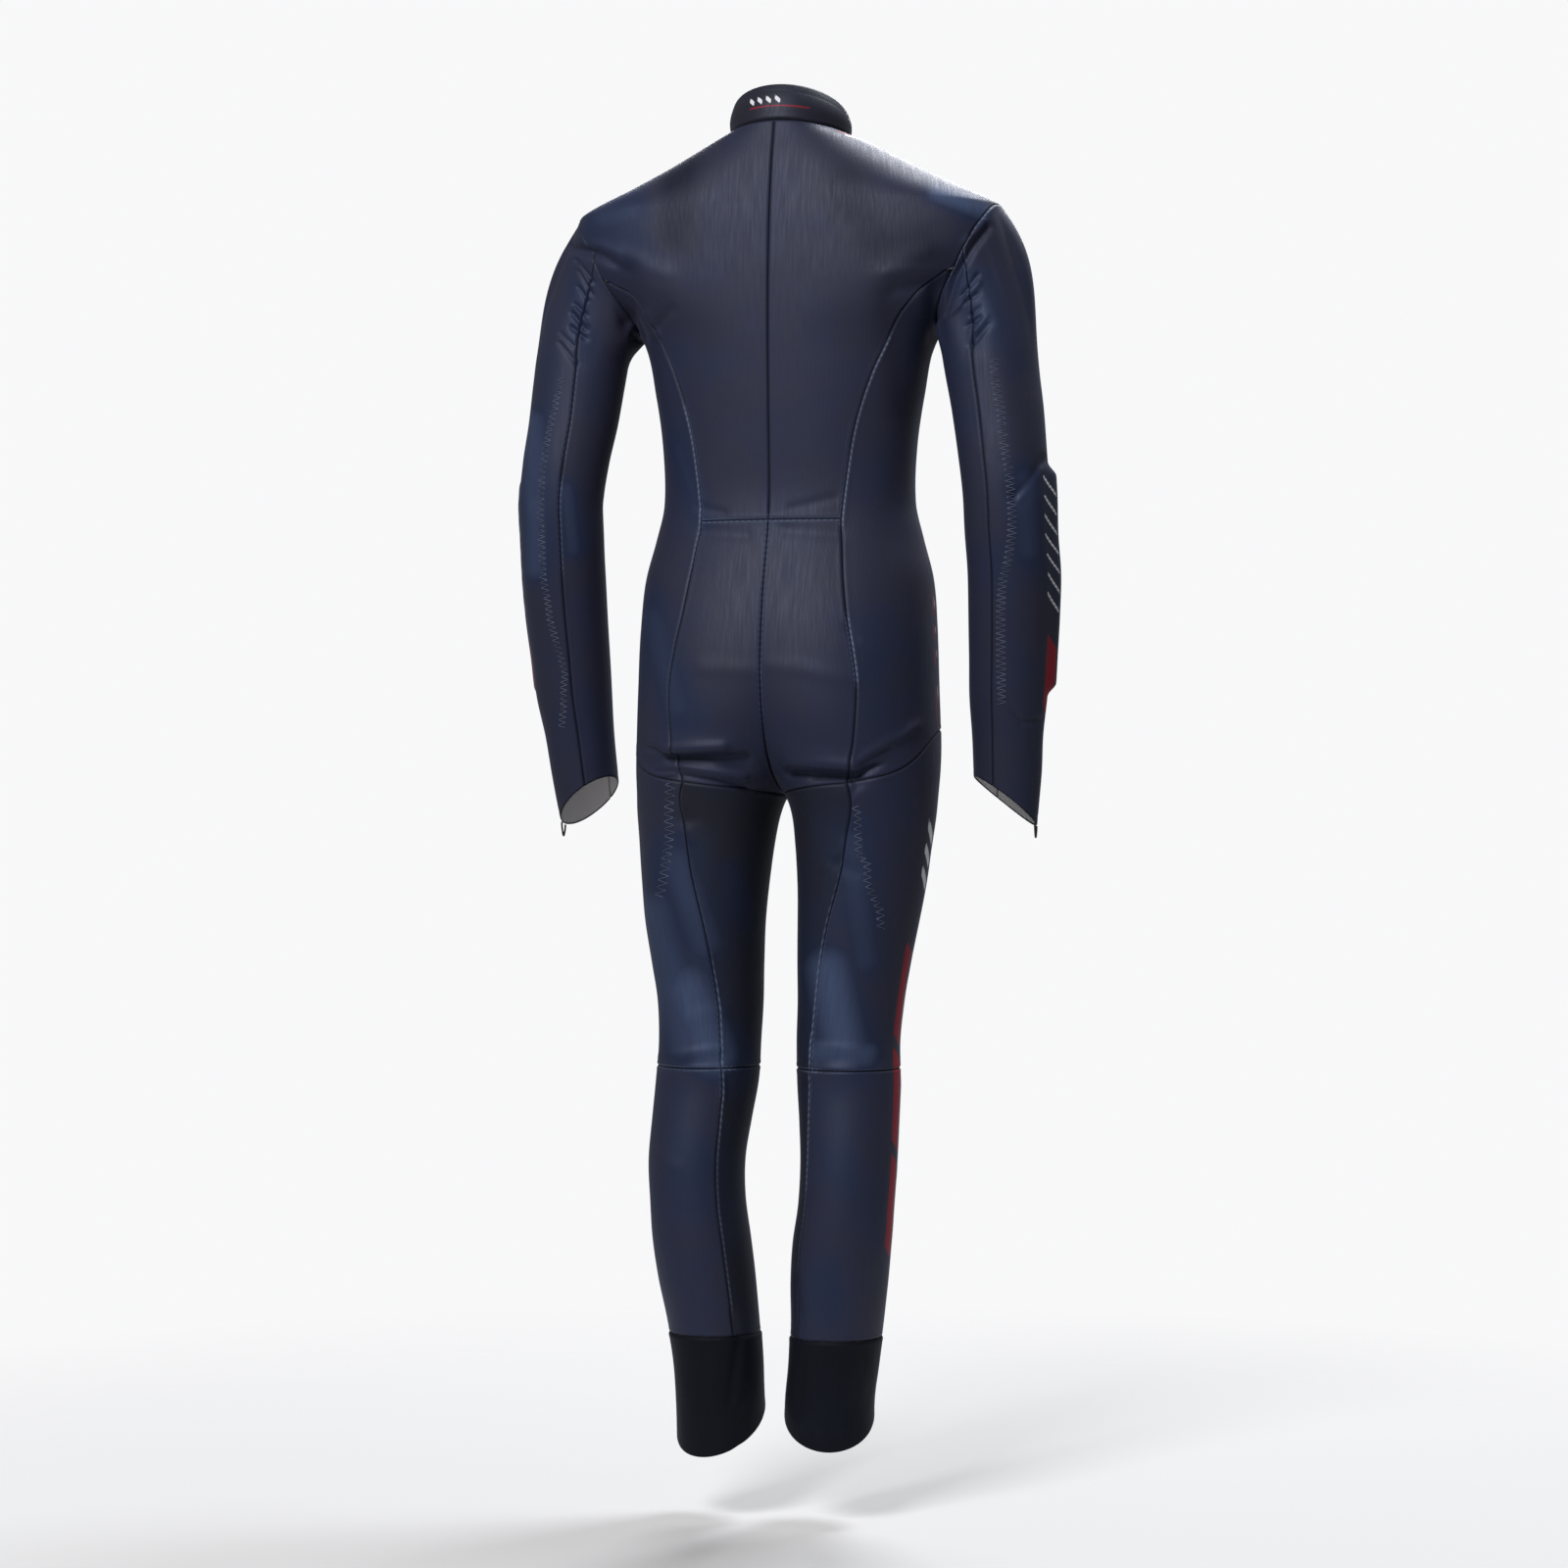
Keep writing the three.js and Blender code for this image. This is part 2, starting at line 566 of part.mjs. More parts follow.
function frontPanel(side) {
  const upper = UPPER_ROWS + ROWS.chest;
  return gridOf(upper + ROWS.hip, frontCells, (j, i) => {
    const fromCentre = 1 - i / frontCells;
    if (j <= upper) {
      const row = upperRow(j, true);
      const centre = frontEdge(row.level, 0);
      const u = centre - (centre - row.edge) * evenly(row.level, fromCentre);
      return upperSpot(side, u, row, j, i === 0);
    }
    const hipRow = j - upper;
    const share = hipShare(hipRow);
    const level = mix(WAIST, thighSeamLevel(frontU(i)), share);
    const even = mix(frontEdge(level, hipRow), FRONT_PRINCESS.at(-1).u, fromCentre);
    const onEdge = i === 0 || i === frontCells;
    const u = mix(even, frontU(i), smooth(share, SETTLING_SHARE, 1));
    return bodySpot(side, onEdge ? even : u, level);
  });
}

// The three panels round a leg, by their columns: where each starts and ends at a level.
const innerCells = CELLS.frontInner + CELLS.back;
const LEG_PANELS = {
  back: {
    cells: CELLS.sideBack,
    top: (i) => sideU(i),
    edges: (level) => [along(LEG_SEAM, 'level', 'u', level), OUTER_LEG_SEAM],
  },
  front: {
    cells: CELLS.sideFront + CELLS.frontOuter,
    top: (i) => (i < CELLS.sideFront ? sideU(CELLS.sideBack + i) : frontU(i - CELLS.sideFront)),
    edges: () => [OUTER_LEG_SEAM, INNER_FRONT_LEG_SEAM],
  },
  inner: {
    cells: innerCells,
    top: (i) => (i <= CELLS.frontInner
      ? frontU(CELLS.frontOuter + i)
      : 1 + seatU(i - CELLS.frontInner)),
    edges: (level) => [INNER_FRONT_LEG_SEAM, 1 + along(LEG_SEAM, 'level', 'u', level)],
  },
};

function legU(panel, level, i) {
  const [start, end] = panel.edges(level);
  return mix(start, end, i / panel.cells);
}

function thighPanel(side, panel) {
  return gridOf(ROWS.thigh, panel.cells, (j, i) => {
    const topU = panel.top(i);
    const onRound = topU > 1 ? topU - 1 : topU;
    if (j === 0) return bodySpot(side, onRound, thighSeamLevel(onRound));
    const share = j / ROWS.thigh;
    const edgeTop = [panel.top(0), panel.top(panel.cells)].map((u) => (u > 1 ? u - 1 : u));
    const edgeLevel = mix(thighSeamLevel(edgeTop[i * 2 < panel.cells ? 0 : 1]), KNEE, share);
    const level = mix(thighSeamLevel(onRound), KNEE, share);
    const onEdge = i === 0 || i === panel.cells;
    const settled = onEdge ? 1 : smooth(j, 0, SETTLING_ROWS);
    const u = mix(topU, legU(panel, onEdge ? edgeLevel : level, i), settled);
    return bodySpot(side, u > 1 ? u - 1 : u, level);
  });
}

function calfPanel(side, panel) {
  return gridOf(ROWS.calf, panel.cells, (j, i) => {
    const level = mix(KNEE, CUFF_SEAM, j / ROWS.calf);
    const u = legU(panel, level, i);
    return bodySpot(side, u > 1 ? u - 1 : u, level);
  });
}

function hemLevel(side, u) {
  const angle = 2 * Math.PI * u;
  return (side > 0 ? HEM.right : HEM.left) + HEM.innerLift * Math.cos(angle) - HEM.heelDrop * Math.sin(angle);
}

function ankleCuff(side) {
  const round = Object.values(LEG_PANELS).flatMap((panel) => (
    Array.from({ length: panel.cells }, (_, i) => legU(panel, CUFF_SEAM, i) % 1)
  )).sort((a, b) => a - b);
  return gridOf(ROWS.ankle, round.length - 1, (j, i) => {
    const u = round[i];
    const spot = bodySpot(side, u, mix(CUFF_SEAM, hemLevel(side, u), j / ROWS.ankle));
    spot.place.addScaledVector(spot.normal, CUFF_STEP);
    return spot;
  });
}

// The two panels of a sleeve. The outer one runs from the front seam over the shoulder.
function sleevePanel(side, outer) {
  const { backTop, backLow, frontTop, frontLow, settled } = SLEEVE_SEAMS;
  return gridOf(ROWS.cap + ROWS.arm, CELLS.sleeve, (j, i) => {
    const run = j <= ROWS.cap ? j / ROWS.cap : 1 + (j - ROWS.cap) / ROWS.arm;
    const low = smooth(run, 0, settled);
    const backSeam = mix(backTop, backLow, low);
    const frontSeam = mix(frontTop, frontLow, low);
    const share = i / CELLS.sleeve;
    const angle = outer ? mix(frontSeam - 360, backSeam, share) : mix(backSeam, frontSeam, share);
    return {
      place: sleevePoint(side, angle, run),
      normal: j === 0 ? armholeNormal(side, angle) : sleeveNormal(side, angle, run),
    };
  });
}

// The neck seam from the front of the right half, round the back, to the front of the left.
function neckColumns() {
  const half = [];
  for (let i = 0; i < frontCells; i += 1) {
    const centre = frontEdge(NECK, 0);
    half.push(centre - (centre - 0.5) * evenly(NECK, 1 - (frontCells - i) / frontCells));
  }
  for (let i = CELLS.back; i >= 1; i -= 1) half.push(0.5 * evenly(NECK, i / CELLS.back));
  const right = half.map((u) => ({ side: 1, u }));
  const left = half.map((u) => ({ side: -1, u })).reverse();
  return [...right, { side: 1, u: 0 }, ...left];
}

function collarPanel() {
  const columns = neckColumns();
  return gridOf(ROWS.collar, columns.length - 1, (j, i) => {
    const { side, u } = columns[i];
    return {
      place: collarPoint(side, u, j / ROWS.collar),
      normal: j === 0 ? neckNormal(side, u) : collarNormal(side, u, j / ROWS.collar),
    };
  });
}

// The zip tape fills the opening between the fronts, up to the top of the collar.
function zipGrid(rightFront, collar) {
  const collarEdge = collar.map((line) => line[0]).slice(1).reverse();
  const last = UPPER_ROWS + ROWS.chest + ZIP_LAST_HIP_ROW + 1;
  const frontEdges = rightFront.slice(0, last + 1).map((line) => line.at(-1));
  return [...collarEdge, ...frontEdges].map((spot) => {
    const flat = new THREE.Vector3(0, spot.normal.y, spot.normal.z).normalize();
    const mirrored = {
      place: spot.place.clone().setX(-spot.place.x),
      normal: spot.normal.clone().setX(-spot.normal.x),
    };
    return [spot, { place: spot.place.clone().setX(0), normal: flat }, mirrored];
  });
}

// The slider sits on the tape near the collar's top. Its bridge holds the cross pin of the pull.
const SLIDER = {
  halfTop: 4.6, halfFoot: 3, up: 4.5, down: 6.5, corner: 1, waist: -1, thickness: 2.6, belowTop: 14,
};
const BRIDGE = { half: 1.2, inner: 2.9, outer: 4.1, postIn: 1.5, postOut: 2.9, root: 0.6 };
const PULL = { half: 4, thickness: 1.5, pin: 0.8, eyeHalf: 2.1, eyeFoot: 5, length: 26, standOff: 1.45 };

// An outline given across and up, made solid from its back to its front.
const CURVE_SEGMENTS = 6;

function plate(shape, backY, thickness) {
  const geometry = new THREE.ExtrudeGeometry(shape, {
    depth: thickness,
    bevelEnabled: false,
    curveSegments: CURVE_SEGMENTS,
  });
  return geometry.rotateX(Math.PI / 2).translate(0, backY + thickness, 0);
}

function joined(first, second) {
  const [a, b] = [first, second].map((geometry) => {
    const bare = geometry.clone();
    bare.deleteAttribute('normal');
    bare.deleteAttribute('uv');
    const merged = mergeVertices(bare, 1e-4);
    return new wasm.Manifold(new wasm.Mesh({
      numProp: 3,
      vertProperties: new Float32Array(merged.getAttribute('position').array),
      triVerts: new Uint32Array(merged.index.array),
    }));
  });
  const { vertProperties, triVerts } = a.add(b).getMesh();
  const geometry = new THREE.BufferGeometry();
  geometry.setAttribute('position', new THREE.BufferAttribute(vertProperties, 3));
  geometry.setIndex(new THREE.BufferAttribute(triVerts, 1));
  geometry.computeVertexNormals();
  return geometry;
}

// The slider and its bridge, with the middle of the cross pin at height 0 and its face at y 0.
function sliderGeometry() {
  const { halfTop, halfFoot, up, down, corner, waist, thickness } = SLIDER;
  const outline = new THREE.Shape();
  outline.moveTo(-halfFoot, -down);
  outline.lineTo(halfFoot, -down);
  outline.quadraticCurveTo(halfTop, waist, halfTop, up - corner);
  outline.lineTo(halfTop - corner, up);
  outline.lineTo(corner - halfTop, up);
  outline.lineTo(-halfTop, up - corner);
  outline.quadraticCurveTo(-halfTop, waist, -halfFoot, -down);
  const { half, inner, outer, postIn, postOut, root } = BRIDGE;
  const arch = new THREE.Shape();
  const corners = [
    [-root, -postOut], [outer, -postOut], [outer, postOut], [-root, postOut],
    [-root, postIn], [inner, postIn], [inner, -postIn], [-root, -postIn],
  ];
  arch.setFromPoints(corners.map(([out, high]) => new THREE.Vector2(out, high)));
  const bridge = new THREE.ExtrudeGeometry(arch, { depth: 2 * half, bevelEnabled: false });
  const turned = new THREE.Matrix4().set(0, 0, 1, -half, 1, 0, 0, 0, 0, 1, 0, 0, 0, 0, 0, 1);
  return joined(plate(outline, -thickness, thickness), bridge.applyMatrix4(turned));
}

// The pull: its top bar is the cross pin, and the bridge passes through the eye below it.
function pullGeometry() {
  const { half, thickness, pin, eyeHalf, eyeFoot, length, standOff } = PULL;
  const outline = new THREE.Shape();
  outline.moveTo(-half, pin);
  outline.lineTo(-half, half - length);
  outline.absarc(0, half - length, half, Math.PI, 2 * Math.PI, false);
  outline.lineTo(half, pin);
  const eye = new THREE.Path();
  const corners = [[-eyeHalf, -pin], [-eyeHalf, -eyeFoot], [eyeHalf, -eyeFoot], [eyeHalf, -pin]];
  eye.setFromPoints(corners.map(([x, z]) => new THREE.Vector2(x, z)));
  outline.holes.push(eye);
  return plate(outline, standOff - thickness / 2, thickness);
}

// A thin elastic loop that hangs from the longest point of a sleeve's edge.
const LOOP = {
  angle: 9, drop: 12, shoulder: 3.6, radius: 1.1, sides: 8, steps: 20, seat: 0.95, inset: 1,
};

function fingerLoop(side) {
  const root = (angle) => {
    const level = wristLevel(angle);
    const middle = armPoint(side, 0, level).lerp(armPoint(side, 180, level), 0.5);
    const edge = armPoint(side, angle, level);
    const inwards = middle.sub(edge).setZ(0).setLength(LOOP.inset);
    return edge.add(inwards).add(new THREE.Vector3(0, 0, -LOOP.seat));
  };
  const [a, b] = [root(-LOOP.angle), root(LOOP.angle)];
  const low = a.clone().add(b).multiplyScalar(0.5);
  low.z = Math.min(a.z, b.z) - LOOP.drop;
  const below = (point, by) => point.clone().setZ(point.z - by);
  const path = new THREE.CatmullRomCurve3([
    a, below(a, LOOP.shoulder), low, below(b, LOOP.shoulder), b,
  ]);
  const section = new THREE.Shape();
  section.absarc(0, 0, LOOP.radius, 0, 2 * Math.PI, false);
  return new THREE.ExtrudeGeometry(section, {
    steps: LOOP.steps,
    extrudePath: path,
    curveSegments: LOOP.sides / 2,
    bevelEnabled: false,
  });
}

function mesh(name, geometry, colour, roughness = ROUGHNESS.cloth, metalness = 0) {
  const material = new THREE.MeshStandardMaterial({ color: colour, roughness, metalness });
  const part = new THREE.Mesh(geometry, material);
  part.name = name;
  return part;
}

const suit = new THREE.Group();
const collar = collarPanel();
suit.add(mesh('collar', wall(collar, COLLAR_WALL), COLOURS.collar));

let rightFront;
for (const [word, side] of [['right', 1], ['left', -1]]) {
  const front = frontPanel(side);
  if (side === 1) rightFront = front;
  const pieces = [
    ['back', backPanel(side), COLOURS.navy],
    ['seat', seatPanel(side), COLOURS.navy],
    ['side', sidePanel(side), COLOURS.navy],
    ['front', front, COLOURS.navy],
    ['sleeve_outer', sleevePanel(side, true), COLOURS.navy],
    ['sleeve_under', sleevePanel(side, false), COLOURS.navy],
    ['thigh_back', thighPanel(side, LEG_PANELS.back), COLOURS.navy],
    ['thigh_front', thighPanel(side, LEG_PANELS.front), COLOURS.navy],
    ['thigh_inner', thighPanel(side, LEG_PANELS.inner), COLOURS.dark],
    ['calf_back', calfPanel(side, LEG_PANELS.back), COLOURS.navy],
    ['calf_front', calfPanel(side, LEG_PANELS.front), COLOURS.navy],
    ['calf_inner', calfPanel(side, LEG_PANELS.inner), COLOURS.dark],
  ];
  for (const [name, grid, colour] of pieces) {
    suit.add(mesh(`${name}_${word}`, wall(grid, CLOTH_WALL), colour));
  }
  suit.add(mesh(`ankle_cuff_${word}`, wall(ankleCuff(side), CLOTH_WALL, true), COLOURS.dark));
  suit.add(mesh(`finger_loop_${word}`, fingerLoop(side), COLOURS.dark));
}

const zip = zipGrid(rightFront, collar);
suit.add(mesh('zip_tape', wall(zip, CLOTH_WALL), COLOURS.tape));

const tapeTop = zip[0][1].place;
const tapeFace = Math.max(...zip.slice(0, ROWS.collar).map((line) => line[1].place.y));
const slider = mesh('zip_slider', sliderGeometry(), COLOURS.metal, ROUGHNESS.metal, 1);
const pull = mesh('zip_pull_tab', pullGeometry(), COLOURS.pull, ROUGHNESS.plastic);
for (const piece of [slider, pull]) {
  piece.position.set(0, tapeFace + SEAM_GAP + SLIDER.thickness, tapeTop.z - SLIDER.belowTop);
  suit.add(piece);
}

export default suit;
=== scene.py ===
"""A one-piece ski race suit, filled out and hollow, with its arms down and its back to the camera.

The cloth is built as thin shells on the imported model's own form. Lengths are in millimetres
until a mesh is made, with +Z up, the back of the suit facing -Y and its right sleeve at +X.
"""
import math

import bpy
import numpy as np
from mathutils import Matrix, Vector
from mathutils.bvhtree import BVHTree


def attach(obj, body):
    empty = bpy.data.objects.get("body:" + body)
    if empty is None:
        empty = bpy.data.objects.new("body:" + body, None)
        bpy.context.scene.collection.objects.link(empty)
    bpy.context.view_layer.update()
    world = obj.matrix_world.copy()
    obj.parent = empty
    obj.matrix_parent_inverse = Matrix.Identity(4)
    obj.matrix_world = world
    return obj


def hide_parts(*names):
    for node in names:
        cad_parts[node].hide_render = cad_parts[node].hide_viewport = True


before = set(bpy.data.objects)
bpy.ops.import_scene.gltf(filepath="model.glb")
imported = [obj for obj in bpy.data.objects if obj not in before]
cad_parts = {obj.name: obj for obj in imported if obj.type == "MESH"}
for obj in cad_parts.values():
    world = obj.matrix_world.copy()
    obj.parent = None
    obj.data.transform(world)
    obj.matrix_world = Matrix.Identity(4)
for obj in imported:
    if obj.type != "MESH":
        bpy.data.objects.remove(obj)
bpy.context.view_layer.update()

MM = 0.001
NECK, WAIST, CROTCH, KNEE, CUFF_SEAM = -8, -421, -707, -995, -1275
CLOTH = 1.1
SIDES = {"right": 1, "left": -1}
FRONT_CELLS, SIDE_CELLS = 7, 8


def table(columns, rows):
    """The named columns of a short table, as arrays ordered by the first column."""
    values = np.array(rows, float)
    if values[0, 0] > values[-1, 0]:
        values = values[::-1]
    return {name: values[:, i] for i, name in enumerate(columns.split())}


# The suit's sections. Above the crotch one half is given, from the centre line to the side,
# and below it one leg. Lift and drop tilt a section, up at the back and down in front.
SECTIONS = table("level outer inner back front mid round lift drop sway", [
    (-8, 62, -62, -62, 64, 0, 2.0, 8, 44, 0),
    (-20, 90, -90, -68, 74, 0, 2.0, 6, 42, 0),
    (-42, 132, -132, -74, 84, 0, 2.1, 6, 36, 0),
    (-64, 176, -176, -79, 92, 0, 2.3, 6, 30, 0),
    (-82, 215, -215, -82, 98, 0, 2.6, 5, 24, 0),
    (-92, 229, -229, -84, 100, 0, 2.8, 4, 20, 0),
    (-120, 229, -229, -87, 104, 0, 3.0, 3, 14, 0),
    (-157, 215, -215, -90, 107, 0, 3.0, 0, 6, 0),
    (-190, 188, -188, -91, 108, 0, 2.8, 0, 2, 0),
    (-223, 159, -159, -91, 106, 0, 2.4, 0, 0, 0),
    (-285, 144, -144, -89, 101, 0, 2.3, 0, 0, 0),
    (-345, 136, -136, -86, 96, 0, 2.3, 0, 0, 0),
    (-400, 135, -135, -85, 94, 0, 2.3, 0, 0, 0),
    (-436, 143, -143, -92, 95, 0, 2.3, 0, 0, 0),
    (-480, 154, -126, -106, 97, 0, 2.3, 0, 0, 0),
    (-530, 158, -103, -118, 97, 0, 2.3, 0, 0, 0),
    (-585, 160, -82, -126, 94, 0, 2.2, 0, 0, 0),
    (-640, 162, -51, -124, 88, 0, 2.1, 0, 0, 0),
    (-680, 163, -22, -113, 82, -4, 2.1, 0, 0, 0),
    (-707, 162, 0, -104, 76, -12, 2.0, 0, 0, 0),
    (-728, 161, 8.7, -97, 72, -12, 2.0, 0, 0, -0.5),
    (-760, 157.5, 14, -94, 67, -14, 2.0, 0, 0, -1.5),
    (-801, 153, 18, -92, 60, -16, 2.0, 0, 0, -2.5),
    (-843, 147, 20, -90, 53, -18, 2.0, 0, 0, -4),
    (-885, 139.5, 20.5, -86, 46, -20, 2.0, 0, 0, -4.5),
    (-926, 133, 21, -85, 39, -23, 2.0, 0, 0, -4),
    (-968, 130, 21.5, -84, 32, -26, 2.0, 0, 0, -5),
    (-1010, 132, 23, -87, 26, -30, 2.0, 0, 0, -5),
    (-1052, 133, 28, -94, 20, -37, 2.0, 0, 0, -6),
    (-1093, 133.5, 32, -101, 13, -44, 2.0, 0, 0, -7),
    (-1135, 131, 31, -104, 10, -47, 2.0, 0, 0, -7),
    (-1177, 128, 25, -105, 9, -48, 2.0, 0, 0, -7),
    (-1219, 123, 21, -102, 8, -47, 2.0, 0, 0, -6),
    (-1260, 116.5, 19, -98, 6, -46, 2.0, 0, 0, -4),
    (-1302, 110, 16.5, -95, 6, -44, 2.0, 0, 0, -3.5),
    (-1344, 105.5, 14, -92, 8, -42, 2.0, 0, 0, -5),
    (-1400, 105, 11, -91, 9, -41, 2.0, 0, 0, -4),
])

# Seams: by distance from the centre line, or round the section, where 0 is the centre of
# the back or the inseam, 0.5 the outer side and 1 the centre of the front.
PRINCESS_TOP, PRINCESS_FOOT = -164, -692
BACK_PRINCESS = table("level x", [
    (PRINCESS_TOP, 184), (-178, 166), (-192, 150), (-211, 134), (-241, 119), (-270, 106), (-320, 90),
    (-370, 81), (-421, 76), (-450, 79), (-484, 83), (-523, 89), (-552, 95), (-597, 101),
    (-650, 98), (-692, 90),
])
FRONT_PRINCESS = table("level u", [(PRINCESS_TOP, 0.672), (-215, 0.7), (-260, 0.72), (-700, 0.72)])
LEG_SEAM = table("level u", [
    (-692, 0.27), (-785, 0.24), (-850, 0.205), (-926, 0.18), (-990, 0.165), (-1052, 0.145),
    (-1115, 0.135), (-1400, 0.135),
])
THIGH_SEAM = table("u level", [
    (0, -709), (0.27, -692), (0.35, -681), (0.5, -642), (0.72, -650), (0.88, -684), (1, -709),
])
OUTER_LEG_SEAM, INNER_FRONT_LEG_SEAM, FRONT_FOOT_U = 0.56, 0.86, 0.72

ARMHOLE = {"u": 0.5, "level": -153, "half_u": 0.175, "half_level": 63.5}
BACK_JOIN, FRONT_JOIN = 100, 260
ARM_TOP_LEVELS = (-8, -20, -42, -64, -80, -89.5)

# The middle line and half width of a sleeve, from under the armhole to the wrist.
SLEEVE = table("level x y half sway", [
    (-222, 221, -8, 51, -5), (-269, 227, -14, 49.5, -4), (-311, 233, -20, 48, -2.5),
    (-353, 239, -26, 46.5, -2.8), (-394, 243.5, -28, 45.5, -3), (-436, 244, -24, 45, -2.6),
    (-478, 244.8, -16, 45, -2.2), (-520, 243.5, -8, 44, -2.7), (-561, 241.5, 0, 42.5, -3.1),
    (-603, 239.5, 8, 41, -3.8), (-645, 236.5, 16, 37.5, -3.3), (-687, 234, 24, 36, -2.7),
    (-740, 230, 32, 33, -2),
])
SLEEVE_RING = -252
WRIST = {"level": -715, "outer_drop": 24, "front_drop": 10}
SLEEVE_SEAMS = {"back_top": 80, "back_low": 105, "front_top": 260, "front_low": 240, "settled": 1.3}
FOREARM_PAD = {"top": -362, "bottom": -605, "edge": 14, "angle": -38, "spread": 38, "height": 9}
CLING = {"over": 0.8, "under": 0.25}
CAP_FULLNESS = 1.25
HEM = {"left": -1370, "right": -1359, "inner_lift": 8, "heel_drop": 30}
CUFF_STEP = 1.2
COLLAR = {"side_top": 15, "tilt": 23, "lean": 8, "closing": 0.95, "swell": 3}
ZIP_HALF_WIDTH, ZIP_POINT_HALF_WIDTH = 6, 0.8

# The largest folds, shared with the solids. Face is -1 behind and 1 in front.
FOLDS = [
    (-1, -118, -655, -30, -659, 11, 2.5), (-1, -122, -673, -26, -677, 11, -5),
    (-1, 24, -667, 96, -676, 11, 2.5), (-1, 22, -684, 98, -691, 11, -5),
    (-1, 108, -684, 150, -650, 12, -3), (-1, -190, -140, -118, -176, 16, 3),
    (-1, 190, -140, 124, -172, 16, 3), (-1, -196, -170, -152, -204, 14, -3),
    (-1, 196, -168, 152, -204, 14, -3), (-1, -110, -995, -40, -999, 16, 2),
    (-1, 40, -997, 108, -992, 16, 2), (1, -118, -664, -60, -690, 14, -3),
    (1, 118, -664, 60, -690, 14, -3),
]
SLEEVE_FOLDS = [
    (-1, -238, -172, -206, -236, 14, -3), (-1, 236, -176, 208, -240, 14, -3),
    (-1, 300, -352, 262, -398, 13, -3), (-1, -300, -356, -266, -392, 13, -2),
    (1, -262, -388, -222, -400, 15, -4), (1, 252, -386, 214, -398, 15, -4),
]


def along(rows, order, name, at):
    """A smooth curve through one column, at values of the column that orders it."""
    x, y = rows[order], rows[name]
    at = np.asarray(at, float)
    before = np.concatenate(([0], np.arange(len(x) - 1)))
    after = np.concatenate((np.arange(1, len(x)), [len(x) - 1]))
    slope = (y[after] - y[before]) / (x[after] - x[before])
    k = np.clip(np.searchsorted(x, at), 1, len(x) - 1)
    span = x[k] - x[k - 1]
    t = np.clip((at - x[k - 1]) / span, 0, 1)
    keep = t * t * (3 - 2 * t)
    leave = t * (1 - t) ** 2 * span * slope[k - 1]
    reach = t * t * (t - 1) * span * slope[k]
    return y[k - 1] * (1 - keep) + y[k] * keep + leave + reach


def paired(first, second):
    """Two numbers or arrays as arrays of one shape."""
    return np.broadcast_arrays(np.asarray(first, float), np.asarray(second, float))


def mix(a, b, t):
    return a + (b - a) * t


def smooth(value, low, high):
    t = np.clip((value - low) / (high - low), 0, 1)
    return t * t * (3 - 2 * t)


def signed_power(value, power):
    return np.sign(value) * np.abs(value) ** power


def unit(vectors):
    return vectors / np.maximum(np.linalg.norm(vectors, axis=-1, keepdims=True), 1e-9)


def away_from(line, x, z):
    """The distance of points from a stretch of straight line, given by its two ends."""
    x1, z1, x2, z2 = line
    dx, dz = x2 - x1, z2 - z1
    t = np.clip(((x - x1) * dx + (z - z1) * dz) / (dx * dx + dz * dz), 0, 1)
    return np.hypot(x - x1 - dx * t, z - z1 - dz * t)


def bell(away, width):
    return np.exp(-((away / width) ** 2))


def fold_height(folds, face, x, z):
    height = np.zeros_like(x)
    for side, *line, width, rise in folds:
        height += np.where(face == side, rise * bell(away_from(line, x, z), width), 0)
    return height


SOFTENING = (-20, -10, 0, 10, 20)
HALVINGS = 26
NEAR_U, NEAR_RUN, NEAR_RISE = 0.004, 0.01, 0.02


def softened(name, level):
    """A column averaged over a short stretch, so that light runs evenly over the form."""
    top = SECTIONS["level"][-1]
    return sum(along(SECTIONS, "level", name, np.minimum(level + step, top)) / len(SOFTENING)
               for step in SOFTENING)


def section_width(level):
    """The centre, half width, roundness and sway of a section, and where its line starts."""
    outer, inner, sway = (
        along(SECTIONS, "level", name, level) for name in ("outer", "inner", "sway"))
    round_ = softened("round", level)
    centre, half = (outer + inner) / 2, (outer - inner) / 2
    cut = signed_power(np.minimum(1, centre / half), round_ / 2)
    start = np.where(level > CROTCH, np.arccos(np.clip(cut, -1, 1)), 0)
    return centre, half, round_, sway, start


def body_point(side, u, level):
    """Points on the body, where side is 1 for the right half and -1 for the left."""
    u, level = paired(u, level)
    centre, half, round_, sway, start = section_width(level)
    back, front, mid, lift, drop = (
        softened(name, level) for name in ("back", "front", "mid", "lift", "drop"))
    angle = start + (2 * math.pi - 2 * start) * u
    power = 2 / round_
    behind = np.sin(angle) > 0
    face = np.where(behind, -1, 1)
    depth = np.where(behind, mid - back, front - mid)
    tilt = np.cos(math.pi * u) ** 2
    x = side * (centre - half * signed_power(np.cos(angle), power)) + sway
    z = level + np.where(behind, lift, -drop) * tilt
    sine = np.abs(np.sin(angle))
    fold = fold_height(FOLDS, face, x, z) * sine
    y = mid + face * (depth * sine ** power + fold)
    return np.stack([x, y, z], -1)


def body_normal(side, u, level):
    """The outward direction there. On the centre line it has no part to either side."""
    u, level = paired(u, level)
    whole = level > CROTCH
    before = np.where(whole, np.maximum(0, u - NEAR_U), u - NEAR_U)
    after = np.where(whole, np.minimum(1, u + NEAR_U), u + NEAR_U)
    across = body_point(side, after, level) - body_point(side, before, level)
    down = body_point(side, u, level - 1) - body_point(side, u, level + 1)
    normal = np.cross(across, down) * -side
    middle = (np.abs(body_point(side, u, level)[..., 0]) < 1) & (u % 1 == 0)
    normal[..., 0] = np.where(middle, 0, normal[..., 0])
    return unit(normal)


